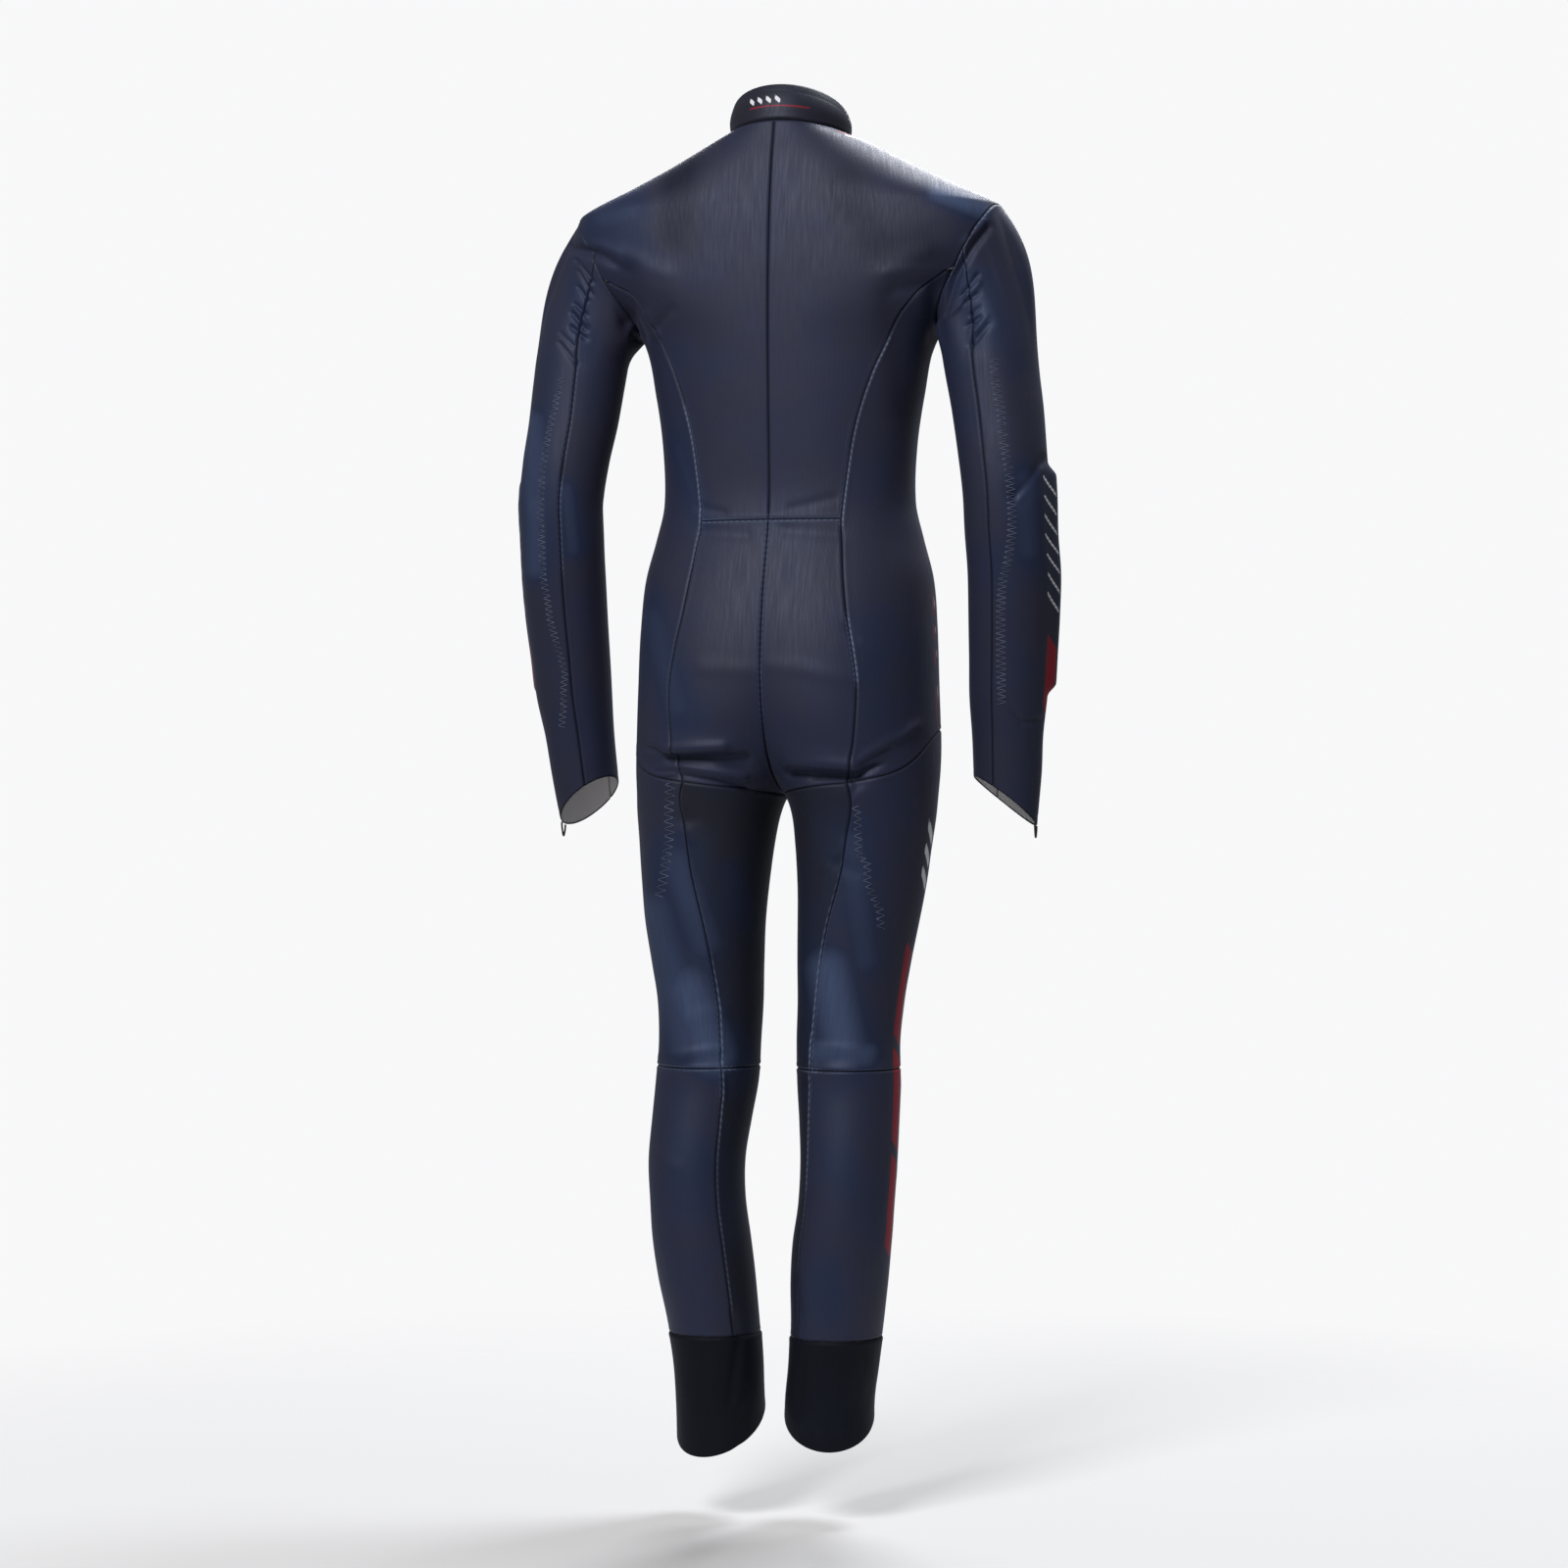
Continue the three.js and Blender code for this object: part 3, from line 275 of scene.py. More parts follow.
def place_across(level, x, in_front):
    """Where a line round the section has a given distance from the centre line."""
    level, x = paired(level, x)
    centre, half, round_, sway, start = section_width(level)
    near = np.full(level.shape, 1.0 if in_front else 0.0)
    far = np.full(level.shape, 0.5)
    for _ in range(HALVINGS):
        middle = (near + far) / 2
        angle = start + (2 * math.pi - 2 * start) * middle
        closer = centre - half * signed_power(np.cos(angle), 2 / round_) + sway < x
        near = np.where(closer, middle, near)
        far = np.where(closer, far, middle)
    return (near + far) / 2


def back_princess(level):
    return place_across(level, along(BACK_PRINCESS, "level", "x", level), False)


def front_princess(level):
    return along(FRONT_PRINCESS, "level", "u", level)


def thigh_seam(u):
    return along(THIGH_SEAM, "u", "level", u)


def armhole(angle):
    turn = np.radians(angle)
    u = ARMHOLE["u"] - ARMHOLE["half_u"] * np.sin(turn)
    return u, ARMHOLE["level"] + ARMHOLE["half_level"] * np.cos(turn)


def arm_point(side, angle, level):
    """Points on a sleeve below the armhole. Angle is 0 outside, 90 behind and 180 inside."""
    angle, level = paired(angle, level)
    turn = np.radians(angle)
    pad = FOREARM_PAD
    away = np.abs((angle - pad["angle"] + 180) % 360 - 180)
    down = smooth(pad["top"] - level, 0, pad["edge"])
    down = down * smooth(level - pad["bottom"], 0, pad["edge"])
    reach = along(SLEEVE, "level", "half", level)
    reach = reach + pad["height"] * down * np.exp(-((away / pad["spread"]) ** 4))
    sway = along(SLEEVE, "level", "sway", level)
    x = side * (along(SLEEVE, "level", "x", level) + reach * np.cos(turn)) + sway
    face = np.where(np.sin(turn) > 0, -1, 1)
    fold = face * fold_height(SLEEVE_FOLDS, face, x, level) * np.abs(np.sin(turn))
    y = along(SLEEVE, "level", "y", level) - reach * np.sin(turn) + fold
    return np.stack([x, y, level], -1)


def wrist_level(angle):
    turn = np.radians(angle)
    return WRIST["level"] - WRIST["outer_drop"] * np.cos(turn) + WRIST["front_drop"] * np.sin(turn)


def sleeve_point(side, angle, run):
    """Points on a whole sleeve: run is 0 at the armhole, 1 under it and 2 at the wrist."""
    angle, run = paired(angle, run)
    low = arm_point(side, angle, mix(SLEEVE_RING, wrist_level(angle), np.maximum(run, 1) - 1))
    u, level = armhole(angle)
    start = body_point(side, u, level)
    end = arm_point(side, angle, SLEEVE_RING)
    chord = end - start
    length = np.linalg.norm(chord, axis=-1, keepdims=True) * CAP_FULLNESS
    normal = body_normal(side, u, level)
    cling = mix(CLING["under"], CLING["over"], (1 + np.cos(np.radians(angle))) / 2)[..., None]
    leave = unit(chord - cling * (chord * normal).sum(-1, keepdims=True) * normal) * length
    arrive = unit(arm_point(side, angle, SLEEVE_RING - 6) - end) * length
    t = np.minimum(run, 1)[..., None]
    keep = t * t * (3 - 2 * t)
    cap = start * (1 - keep) + end * keep + leave * t * (1 - t) ** 2 + arrive * t * t * (t - 1)
    return np.where((run >= 1)[..., None], low, cap)


def sleeve_normal(side, angle, run):
    across = sleeve_point(side, angle + 1, run) - sleeve_point(side, angle - 1, run)
    below = sleeve_point(side, angle, run + NEAR_RUN)
    down = below - sleeve_point(side, angle, np.maximum(0, run - NEAR_RUN))
    return unit(np.cross(across, down) * side)


def armhole_normal(side, angle):
    """At a seam that turns a corner both pieces share the direction halfway between them."""
    angle = np.asarray(angle, float)
    on_sleeve = sleeve_normal(side, angle, np.zeros_like(angle))
    return unit(body_normal(side, *armhole(angle)) + on_sleeve)


def collar_point(side, u, rise):
    base = body_point(side, u, NECK)
    rise = np.asarray(rise, float)[..., None]
    depth = SECTIONS["front"][-1]
    top = np.stack([
        base[..., 0],
        base[..., 1] * COLLAR["closing"] + COLLAR["lean"],
        COLLAR["side_top"] - COLLAR["tilt"] * base[..., 1] / depth,
    ], -1)
    out = unit(base * (1, 1, 0))
    return mix(base, top, rise) + out * COLLAR["swell"] * np.sin(math.pi * rise)


def collar_normal(side, u, rise):
    u, rise = paired(u, rise)
    before = collar_point(side, np.maximum(0, u - NEAR_RISE), rise)
    across = collar_point(side, np.minimum(1, u + NEAR_RISE), rise) - before
    up = collar_point(side, u, np.minimum(1, rise + NEAR_RISE))
    down = collar_point(side, u, np.maximum(0, rise - NEAR_RISE)) - up
    normal = np.cross(across, down) * -side
    normal[..., 0] = np.where(u == 0, 0, normal[..., 0])
    return unit(normal)


def neck_normal(side, u):
    return unit(body_normal(side, u, NECK) + collar_normal(side, u, np.zeros_like(u)))


def squareness(level):
    """Spreads columns evenly over a squarish section, whose middle would else be thin."""
    above = smooth(level, WAIST, WAIST + 40)
    return mix(1, along(SECTIONS, "level", "round", level) / 2, above)


HIP_SPACING = 1.3


def hip_share(down):
    return 1 - (1 - down) ** HIP_SPACING


def near_edges(s, cells):
    """1 at both side edges of a panel, falling to 0 one wide cell inside them."""
    return np.clip(1 - np.minimum(s, 1 - s) * cells, 0, 1)


princess_foot = float(back_princess(PRINCESS_FOOT))
SIDE_BACK_SHARE = 5 / SIDE_CELLS
FRONT_OUTER_SHARE = 4 / FRONT_CELLS


def side_u(s):
    return np.interp(s, (0, SIDE_BACK_SHARE, 1), (princess_foot, OUTER_LEG_SEAM, FRONT_FOOT_U))


def front_u(s):
    return np.interp(s, (0, FRONT_OUTER_SHARE, 1), (FRONT_FOOT_U, INNER_FRONT_LEG_SEAM, 1))


ZIP_END_SHARES = (6 / 11, 7 / 11, 8 / 11)


def zip_half(down):
    """Half of the opening between the fronts below the waist, where down is 0 to 1."""
    return np.interp(down, ZIP_END_SHARES, (ZIP_HALF_WIDTH, ZIP_POINT_HALF_WIDTH, 0))


def front_edge(level, half):
    return np.where(half < 1e-6, 1, place_across(level, half, True))


# Every panel below gives, for shares s across it and t down it, a place round the body and
# its level, by the same rules as the solids, so that panels meet along the same seams.
SHOULDER, ARMHOLE_END = 0.13, 0.33
CHEST_PART, UPPER_PART, CAP_PART = 0.47, 0.6, 0.25


def armhole_turn(share):
    """The angle round the armhole that an upper panel's outer edge has reached."""
    return np.clip((share - SHOULDER) / (ARMHOLE_END - SHOULDER), 0, 1) * BACK_JOIN


def upper_edge(t, in_front):
    """The level and the outer edge of a back or front panel above the waist."""
    knots = np.linspace(0, SHOULDER, len(ARM_TOP_LEVELS))
    shoulder = np.interp(t, knots, ARM_TOP_LEVELS)
    angle = armhole_turn(t)
    u, level = armhole(360 - angle if in_front else angle)
    chest = mix(armhole(BACK_JOIN)[1], WAIST, (t - ARMHOLE_END) / (1 - ARMHOLE_END))
    seam = front_princess(chest) if in_front else back_princess(np.minimum(chest, PRINCESS_TOP))
    level = np.where(t < SHOULDER, shoulder, np.where(t < ARMHOLE_END, level, chest))
    edge = np.where(t < SHOULDER, 0.5, np.where(t < ARMHOLE_END, u, seam))
    return level, edge


def back_panel(s, t):
    level, edge = upper_edge(t, False)
    return edge * s ** squareness(level), level


def seat_panel(s, t):
    share = hip_share(t)
    edge = back_princess(mix(WAIST, PRINCESS_FOOT, share))
    return edge * s, mix(WAIST, thigh_seam(princess_foot * s), share)


def side_panel(s, t):
    chest = np.clip(t / CHEST_PART, 0, 1)
    top_u, top_level = armhole(mix(BACK_JOIN, FRONT_JOIN, s))
    chest_level = mix(top_level, WAIST, chest)
    edge_level = mix(armhole(BACK_JOIN)[1], WAIST, chest)
    hip = hip_share(np.clip((t - CHEST_PART) / (1 - CHEST_PART), 0, 1))
    low_level = mix(WAIST, thigh_seam(side_u(s)), hip)
    seam_level = np.where(t < CHEST_PART, edge_level, mix(WAIST, PRINCESS_FOOT, hip))
    front = np.where(t < CHEST_PART, front_princess(edge_level), FRONT_FOOT_U)
    even = mix(back_princess(np.minimum(seam_level, PRINCESS_TOP)), front, s)
    edge = near_edges(s, SIDE_CELLS)
    upper = mix(top_u, even, np.maximum(smooth(chest, 0, 0.5), edge))
    lower = mix(even, side_u(s), smooth(hip, 0.4, 1) * (1 - edge))
    on_top = np.where(chest <= 0, top_u, upper)
    return np.where(t < CHEST_PART, on_top, lower), np.where(t < CHEST_PART, chest_level, low_level)


def front_panel(s, t):
    upper_t = np.clip(t / UPPER_PART, 0, 1)
    level, edge = upper_edge(upper_t, True)
    centre = front_edge(level, np.full_like(level, ZIP_HALF_WIDTH))
    upper = centre - (centre - edge) * (1 - s) ** squareness(level)
    down = np.clip((t - UPPER_PART) / (1 - UPPER_PART), 0, 1)
    share = hip_share(down)
    low_level = mix(WAIST, thigh_seam(front_u(s)), share)
    even = mix(front_edge(low_level, zip_half(down)), FRONT_FOOT_U, 1 - s)
    lower = mix(even, front_u(s), smooth(share, 0.4, 1) * (1 - near_edges(s, FRONT_CELLS)))
    return np.where(t < UPPER_PART, upper, lower), np.where(t < UPPER_PART, level, low_level)


def leg_seam(level):
    return along(LEG_SEAM, "level", "u", level)


# Round a leg: the cells across a panel, where its top edge lies, and its two side seams. Two
# of the top edges pass from one panel above to the next at their third cell.
THIRD, FRONT_LEG_CELLS, INNER_LEG_CELLS = 3, 7, 10


def front_leg_top(s):
    cell = s * FRONT_LEG_CELLS
    return np.where(cell < THIRD, side_u(SIDE_BACK_SHARE + cell / SIDE_CELLS),
                    front_u((cell - THIRD) / FRONT_CELLS))


def inner_leg_top(s):
    cell = s * INNER_LEG_CELLS
    behind = 1 + princess_foot * (cell - THIRD) / (INNER_LEG_CELLS - THIRD)
    return np.where(cell <= THIRD, front_u(FRONT_OUTER_SHARE + cell / FRONT_CELLS), behind)


LEG_PANELS = {
    "back": (5, lambda s: side_u(s * SIDE_BACK_SHARE),
             lambda level: (leg_seam(level), OUTER_LEG_SEAM)),
    "front": (FRONT_LEG_CELLS, front_leg_top, lambda level: (OUTER_LEG_SEAM, INNER_FRONT_LEG_SEAM)),
    "inner": (INNER_LEG_CELLS, inner_leg_top,
              lambda level: (INNER_FRONT_LEG_SEAM, 1 + leg_seam(level))),
}


def leg_u(panel, level, s):
    start, end = LEG_PANELS[panel][2](level)
    return mix(start, end, s)


def on_round(u):
    return np.where(u > 1, u - 1, u)


def to_turn(u, level):
    """The angle round the whole section, in turns, of a place round its line."""
    start = section_width(level)[-1] / (2 * math.pi)
    return np.where(u > 1, 1 + start + (1 - 2 * start) * (u - 1), start + (1 - 2 * start) * u)


def from_turn(turn, level):
    start = section_width(level)[-1] / (2 * math.pi)
    return np.clip((on_round(turn) - start) / (1 - 2 * start), 0, 1)


def thigh_panel(panel):
    cells, top, _ = LEG_PANELS[panel]
    settled_inside, settled_edge = 5 / 11, 2 / 11

    def rule(s, t):
        top_u = top(s)
        first = top(np.where(s < 0.5, 0.0, 1.0))
        top_level = thigh_seam(on_round(top_u))
        edge_level = mix(thigh_seam(on_round(first)), KNEE, t)
        level = mix(top_level, KNEE, t)
        edge = near_edges(s, cells)
        top_turn = to_turn(top_u, top_level)
        inside = mix(top_turn, leg_u(panel, level, s), smooth(t, 0, settled_inside))
        outside = mix(top_turn, leg_u(panel, edge_level, s), smooth(t, 0, settled_edge))
        return from_turn(mix(inside, outside, edge), level), level
    return rule


def calf_panel(panel):
    def rule(s, t):
        level = mix(KNEE, CUFF_SEAM, t)
        return on_round(leg_u(panel, level, s)), level
    return rule


def hem_level(side, u):
    angle = 2 * math.pi * u
    hem = HEM["right"] if side > 0 else HEM["left"]
    return hem + HEM["inner_lift"] * np.cos(angle) - HEM["heel_drop"] * np.sin(angle)


def sleeve_panel(outer):
    seams = SLEEVE_SEAMS

    def rule(s, t):
        run = np.where(t < CAP_PART, t / CAP_PART, 1 + (t - CAP_PART) / (1 - CAP_PART))
        low = smooth(run, 0, seams["settled"])
        back = mix(seams["back_top"], seams["back_low"], low)
        front = mix(seams["front_top"], seams["front_low"], low)
        return (mix(front - 360, back, s) if outer else mix(back, front, s)), run
    return rule


# Meshes: each sheet of cloth is a grid of points, made into a thin closed shell.
CELL = 4.5
EDGE_STEPS = np.array((0, 0.5, 1.1, 1.9, 3.0, 4.6, 6.8))


def shares(length, cell, fine=True):
    """Shares from 0 to 1 along a length, close together at both ends where a seam rolls in."""
    if not fine:
        return np.linspace(0, 1, max(2, round(length / cell)) + 1)
    steps = EDGE_STEPS / length
    middle = np.linspace(steps[-1], 1 - steps[-1], max(2, round(length / cell)))
    return np.concatenate((steps[:-1], middle, (1 - steps[:-1])[::-1]))


def run_lengths(points, axis):
    """How far each point lies from the first and from the last one along a grid line."""
    step = np.linalg.norm(np.diff(points, axis=axis), axis=-1)
    zero = np.zeros_like(np.take(step, [0], axis))
    reached = np.concatenate((zero, np.cumsum(step, axis)), axis)
    return reached, np.take(reached, [-1], axis) - reached


WAVES = 9


def uneven(points, size, seed):
    """Smooth unevenness of about one, from a few crossed waves, the same on every run."""
    rng = np.random.default_rng(seed)
    total = np.zeros(points.shape[:-1])
    for _ in range(WAVES):
        way = unit(rng.normal(size=3)) * rng.uniform(0.7, 1.4) / size
        total += np.sin(points @ way + rng.uniform(0, 2 * math.pi))
    return total / math.sqrt(WAVES)


CAMERA = {"focal": 3835.6, "distance": 4000, "across": 806, "up": 800, "level": -697}
TURN = math.radians(15)
TO_CAMERA = np.array((math.sin(TURN), -math.cos(TURN), 0))
ACROSS = np.array((math.cos(TURN), math.sin(TURN), 0))


def camera_place(points):
    """Where points fall in the photograph, in its pixels."""
    scale = CAMERA["focal"] / (CAMERA["distance"] - points @ TO_CAMERA)
    up = points[..., 2] - CAMERA["level"]
    return CAMERA["across"] + points @ ACROSS * scale, CAMERA["up"] - up * scale


# Creases of the side that is seen, by the pixels of their two ends, with their half width in
# pixels and their height in millimetres. A trough has a height below 0.
CREASES = [
    (585, 253, 612, 260, 5, -3.4), (612, 260, 631, 272, 5, -3.2), (606, 251, 632, 258, 5, 1.3),
    (630, 259, 680, 279, 9, 1.0), (637, 278, 643, 330, 11, -4.6), (643, 320, 652, 345, 8, -3.2),
    (660, 320, 669, 341, 4, 1.2), (671, 334, 685, 316, 5, -1.1), (587, 265, 604, 286, 2.2, -1.5),
    (591, 277, 603, 299, 2.0, -1.2), (590, 270, 603, 292, 2.0, 0.8),
    (590, 293, 599, 306, 2.0, -1.2), (587, 311, 597, 320, 2.4, -1.4),
    (584, 320, 597, 336, 2.4, -1.7), (586, 314, 599, 330, 2.0, 0.8),
    (583, 334, 597, 345, 2.6, -1.6), (571, 350, 588, 371, 2.2, -1.0),
    (572, 340, 585, 353, 2.2, -0.8), (1008, 233, 993, 253, 4.0, -2.6),
    (993, 253, 976, 281, 4.0, -2.6), (976, 281, 963, 321, 4.5, -2.4),
    (1000, 228, 990, 238, 2.2, -0.9), (1004, 226, 985, 246, 3.0, 1.1),
    (954, 296, 955, 345, 9, -2.8), (905, 279, 955, 275, 8, 0.9), (912, 297, 948, 292, 7, -1.2),
    (997, 281, 983, 300, 2.4, -1.4), (998, 290, 976, 315, 3.0, 1.1), (976, 315, 960, 327, 3.0, 0.9),
    (997, 300, 985, 308, 2.6, -1.5), (999, 314, 991, 321, 2.4, -1.1),
    (999, 324, 988, 332, 2.6, -1.4), (1008, 331, 991, 352, 3.0, -1.3),
    (1007, 322, 995, 338, 2.6, 0.7), (1066, 468, 1049, 494, 4.0, -1.5),
    (1049, 494, 1035, 507, 4.0, -1.6), (1062, 478, 1040, 508, 4.0, 0.9),
    (1026, 716, 1043, 737, 3.4, -1.2), (1043, 737, 1070, 734, 3.6, -1.4),
    (716, 543, 762, 546, 6, -0.9), (800, 541, 856, 545, 6, -0.8), (806, 519, 850, 508, 5, -0.6),
    (712, 517, 738, 523, 4, -0.7), (716, 681, 772, 684, 9, 0.55), (784, 679, 818, 682, 9, 0.6),
    (818, 682, 870, 693, 9, 0.65), (864, 640, 873, 652, 4, -0.8), (678, 765, 738, 762, 5, 2.4),
    (661, 763, 681, 772, 3.0, -2.4), (681, 774, 725, 775, 3.6, -3.2),
    (725, 775, 762, 773, 3.6, -2.4), (698, 782, 759, 792, 4.0, 1.6),
    (690, 790, 725, 797, 3.0, -1.8), (725, 797, 762, 806, 3.0, -2.0),
    (671, 787, 697, 787, 2.2, -1.1), (678, 793, 696, 793, 2.6, -1.4), (691, 808, 697, 822, 5, 1.1),
    (693, 836, 708, 836, 6, -1.1), (702, 848, 706, 858, 4, 0.7), (806, 778, 872, 782, 5.5, 2.5),
    (872, 783, 884, 772, 4, 2.0), (884, 772, 934, 741, 5, 1.7), (806, 790, 832, 791, 3.6, -2.6),
    (828, 793, 870, 794, 3.6, -3.0), (870, 794, 895, 781, 3.2, -3.0),
    (877, 779, 905, 764, 2.4, -1.4), (905, 764, 921, 744, 2.2, -0.7),
    (870, 796, 876, 802, 3.0, -1.2), (876, 802, 867, 812, 3.0, -0.9), (850, 879, 874, 890, 7, -1.0),
    (843, 886, 851, 872, 3.0, 0.9), (703, 1040, 740, 1030, 9, 0.7),
    (655, 1080, 735, 1070, 4.0, 1.1), (655, 1092, 735, 1082, 5.0, -0.9),
    (836, 1068, 895, 1072, 4.0, 1.0), (836, 1082, 895, 1083, 5.0, -0.8),
    (736, 1090, 738, 1120, 4, 0.8), (826, 1060, 828, 1100, 4, 0.9), (755, 1365, 745, 1430, 5, -1.5),
    (748, 1340, 752, 1362, 3.5, -1.0), (760, 1440, 752, 1475, 5, -1.1),
    (817, 1395, 815, 1440, 4.5, -1.5), (812, 1300, 817, 1345, 3.0, -0.9),
    (822, 1452, 840, 1475, 5, 1.0), (670, 1180, 690, 1192, 7, 0.5),
]

# Creases of the hidden side, in the same way by x and z on the front of the body.
FRONT_CREASES = [
    (-150, -250, -96, -296, 13, -1.5), (146, -246, 100, -300, 12, -1.3),
    (-118, -404, -60, -418, 9, -1.2), (120, -399, 54, -415, 8, -1.0),
    (-104, -432, -48, -430, 9, 0.9), (-142, -640, -82, -676, 7, -1.9),
    (-132, -655, -66, -694, 6, 1.1), (144, -634, 88, -672, 8, -1.7), (128, -660, 62, -697, 6, 1.0),
    (-40, -640, -16, -690, 8, -1.0), (36, -648, 14, -692, 7, -0.9),
    (-112, -1010, -52, -1002, 8, 0.9), (58, -1006, 114, -1014, 9, 0.8),
    (-98, -1300, -58, -1316, 7, -1.1), (48, -1292, 92, -1308, 8, -1.0),
    (-204, -120, -172, -170, 10, -1.6), (202, -124, 170, -172, 10, -1.5),
    (-214, -196, -240, -226, 6, -1.0), (212, -214, 236, -238, 7, -1.1),
    (-232, -252, -252, -258, 5, -0.6), (230, -268, 258, -274, 6, -0.6),
    (-206, -226, -222, -262, 5, -0.8), (206, -190, 222, -208, 5, -0.7),
    (-212, -398, -262, -384, 7, -1.4), (214, -400, 258, -386, 7, -1.3),
]


# Where the cloth is bluer; lighter where the strength passes 0.8, as wear and a painted highlight; and
# darker below 0, as painted shade. Then where the thread of its seams shows light, partly the thread's
# own colour and partly a painted highlight on the seam ridges. Both are given in the same way as the
# creases, with a strength in place of the height.
TINTS_AND_PAINTED_LIGHT = [
    (615, 222, 646, 215, 24, 1.0), (640, 245, 670, 262, 22, 0.8), (955, 196, 1002, 214, 12, 2.0),
    (694, 165, 688, 240, 20, -1.3), (858, 190, 900, 255, 20, -1.3), (905, 258, 940, 252, 22, -1.3),
    (990, 290, 1008, 330, 18, 1.2), (543, 430, 546, 580, 18, 1.4), (650, 420, 652, 520, 10, -0.4),
    (578, 500, 585, 560, 14, 1.1), (1046, 490, 1050, 560, 22, 1.1), (1022, 560, 1034, 680, 16, 0.5),
    (692, 455, 716, 530, 12, 0.9), (665, 630, 690, 720, 26, 1.0), (775, 600, 775, 760, 8, 0.5),
    (880, 640, 905, 720, 22, 0.4), (742, 890, 762, 940, 16, 0.8), (665, 930, 700, 1060, 30, 1.4),
    (690, 880, 720, 960, 28, 1.2), (868, 860, 884, 980, 24, 1.1), (900, 300, 915, 420, 12, -0.5),
    (700, 1010, 728, 1075, 30, 1.9), (844, 990, 862, 1070, 28, 1.9),
    (838, 1072, 885, 1076, 16, 1.7), (700, 1120, 712, 1230, 26, 0.7),
    (850, 1110, 862, 1230, 26, 0.6), (590, 300, 600, 350, 14, 0.9), (712, 1290, 722, 1340, 20, 0.4),
    (845, 1290, 852, 1350, 20, 0.4),
]
# The seams' thread, strokes that are also a painted highlight where the seam ridges catch light.
THREAD_AND_HIGHLIGHT_STROKES = [
    (700, 420, 716, 530, 9, 0.8), (858, 530, 868, 480, 9, 0.8), (868, 480, 905, 350, 9, 0.9),
    (716, 531, 858, 531, 8, 0.7), (868, 635, 875, 692, 8, 1.0), (714, 534, 714, 600, 8, 0.6),
    (783, 540, 775, 762, 6, 0.6), (577, 498, 581, 578, 8, 0.8), (589, 380, 578, 463, 8, 0.3),
    (736, 980, 741, 1080, 9, 1.0), (741, 1080, 743, 1250, 9, 0.9), (743, 1250, 752, 1330, 9, 0.5),
    (848, 880, 834, 959, 9, 0.8), (834, 959, 828, 1080, 9, 1.0), (828, 1080, 827, 1210, 9, 0.8),
    (827, 1210, 824, 1290, 9, 0.4), (656, 1082, 742, 1080, 9, 0.8), (828, 1080, 896, 1082, 9, 0.7),
    (1008, 214, 1000, 235, 9, 0.9), (985, 250, 965, 315, 9, 0.5), (702, 814, 722, 942, 8, 0.3),
]


def drawn(rows, share, across, down):
    """The strongest part of any line above 0 and of any below 0, at each place."""
    raised, lowered = np.zeros(across.shape), np.zeros(across.shape)
    for *line, width, rise in rows:
        height = rise * share * bell(away_from(line, across, down), width)
        raised, lowered = np.maximum(raised, height), np.minimum(lowered, height)
    return raised, lowered


# How far a surface faces the camera, or the front, where strokes and creases fade in.
STROKES_SHOW, CREASES_SHOW, FRONT_CREASES_SHOW = (0.0, 0.25), (0.02, 0.3), (0.05, 0.4)


def strokes(rows, points, normals, elsewhere):
    """The strength of painted strokes at points, with one even strength where none can be seen."""
    seen = smooth(normals @ TO_CAMERA, *STROKES_SHOW)
    return mix(elsewhere, sum(drawn(rows, 1, *camera_place(points))), seen)


CREASE_GAIN = 1.7
UNEVENNESS = ((0.25, 26, 5), (0.06, 9, 8))


def crease_height(points, normals):
    """How far the cloth stands out in the creases, each one on its own side of the suit."""
    share = smooth(normals @ TO_CAMERA, *CREASES_SHOW)
    behind = drawn(CREASES, share, *camera_place(points))
    share = smooth(normals[..., 1], *FRONT_CREASES_SHOW)
    front = drawn(FRONT_CREASES, share, points[..., 0], points[..., 2])
    height = CREASE_GAIN * (np.minimum(behind[1], front[1]) + np.maximum(behind[0], front[0]))
    return height + sum(share * uneven(points, size, seed) for share, size, seed in UNEVENNESS)


def corner_blend(normals, shared, weight):
    return unit(mix(normals, shared, weight[..., None]))


JOIN_LEVEL = float(armhole(BACK_JOIN)[1])
CORNER = 8


def upper_corners(side, points, normals, u, level, t, in_front):
    """Shares the directions of a back or front panel with the sleeve and the collar."""
    reached, left = run_lengths(points, 1)
    away = reached if in_front else left
    part = UPPER_PART if in_front else 1
    share = np.clip(t / part, 0, 1)
    angle = armhole_turn(share)
    top_level = ARMHOLE["level"] + ARMHOLE["half_level"]
    ramp = np.where(share < SHOULDER, 1 - smooth(level - top_level, 0, CORNER), 1)
    ramp = np.where(share > ARMHOLE_END, 1 - smooth(JOIN_LEVEL - level, 0, CORNER), ramp)
    shared = armhole_normal(side, 360 - angle if in_front else angle)
    normals = corner_blend(normals, shared, ramp * (1 - smooth(away, 0, CORNER)))
    return corner_blend(normals, neck_normal(side, u), 1 - smooth(NECK - level, 0, CORNER))


# Across a seam or a hem: the height of each dip or ridge, where it lies and its half width.
FAR = 99.0
SEAM_GROOVE, SEAM_RIDGE = (-1.15, 0, 1.25), (0.3, 3.2, 1.7)
HEM_EDGE, HEM_STITCHING = (-0.45, 0, 0.8), (-0.25, 9, 0.9)
RIDGE_UNEVENNESS, RIDGE_WAVE, RIDGE_SEED = 0.35, 5, 3


def nearest(away, edges):
    return np.minimum.reduce([np.full(away["top"].shape, FAR)] + [away[edge] for edge in edges])


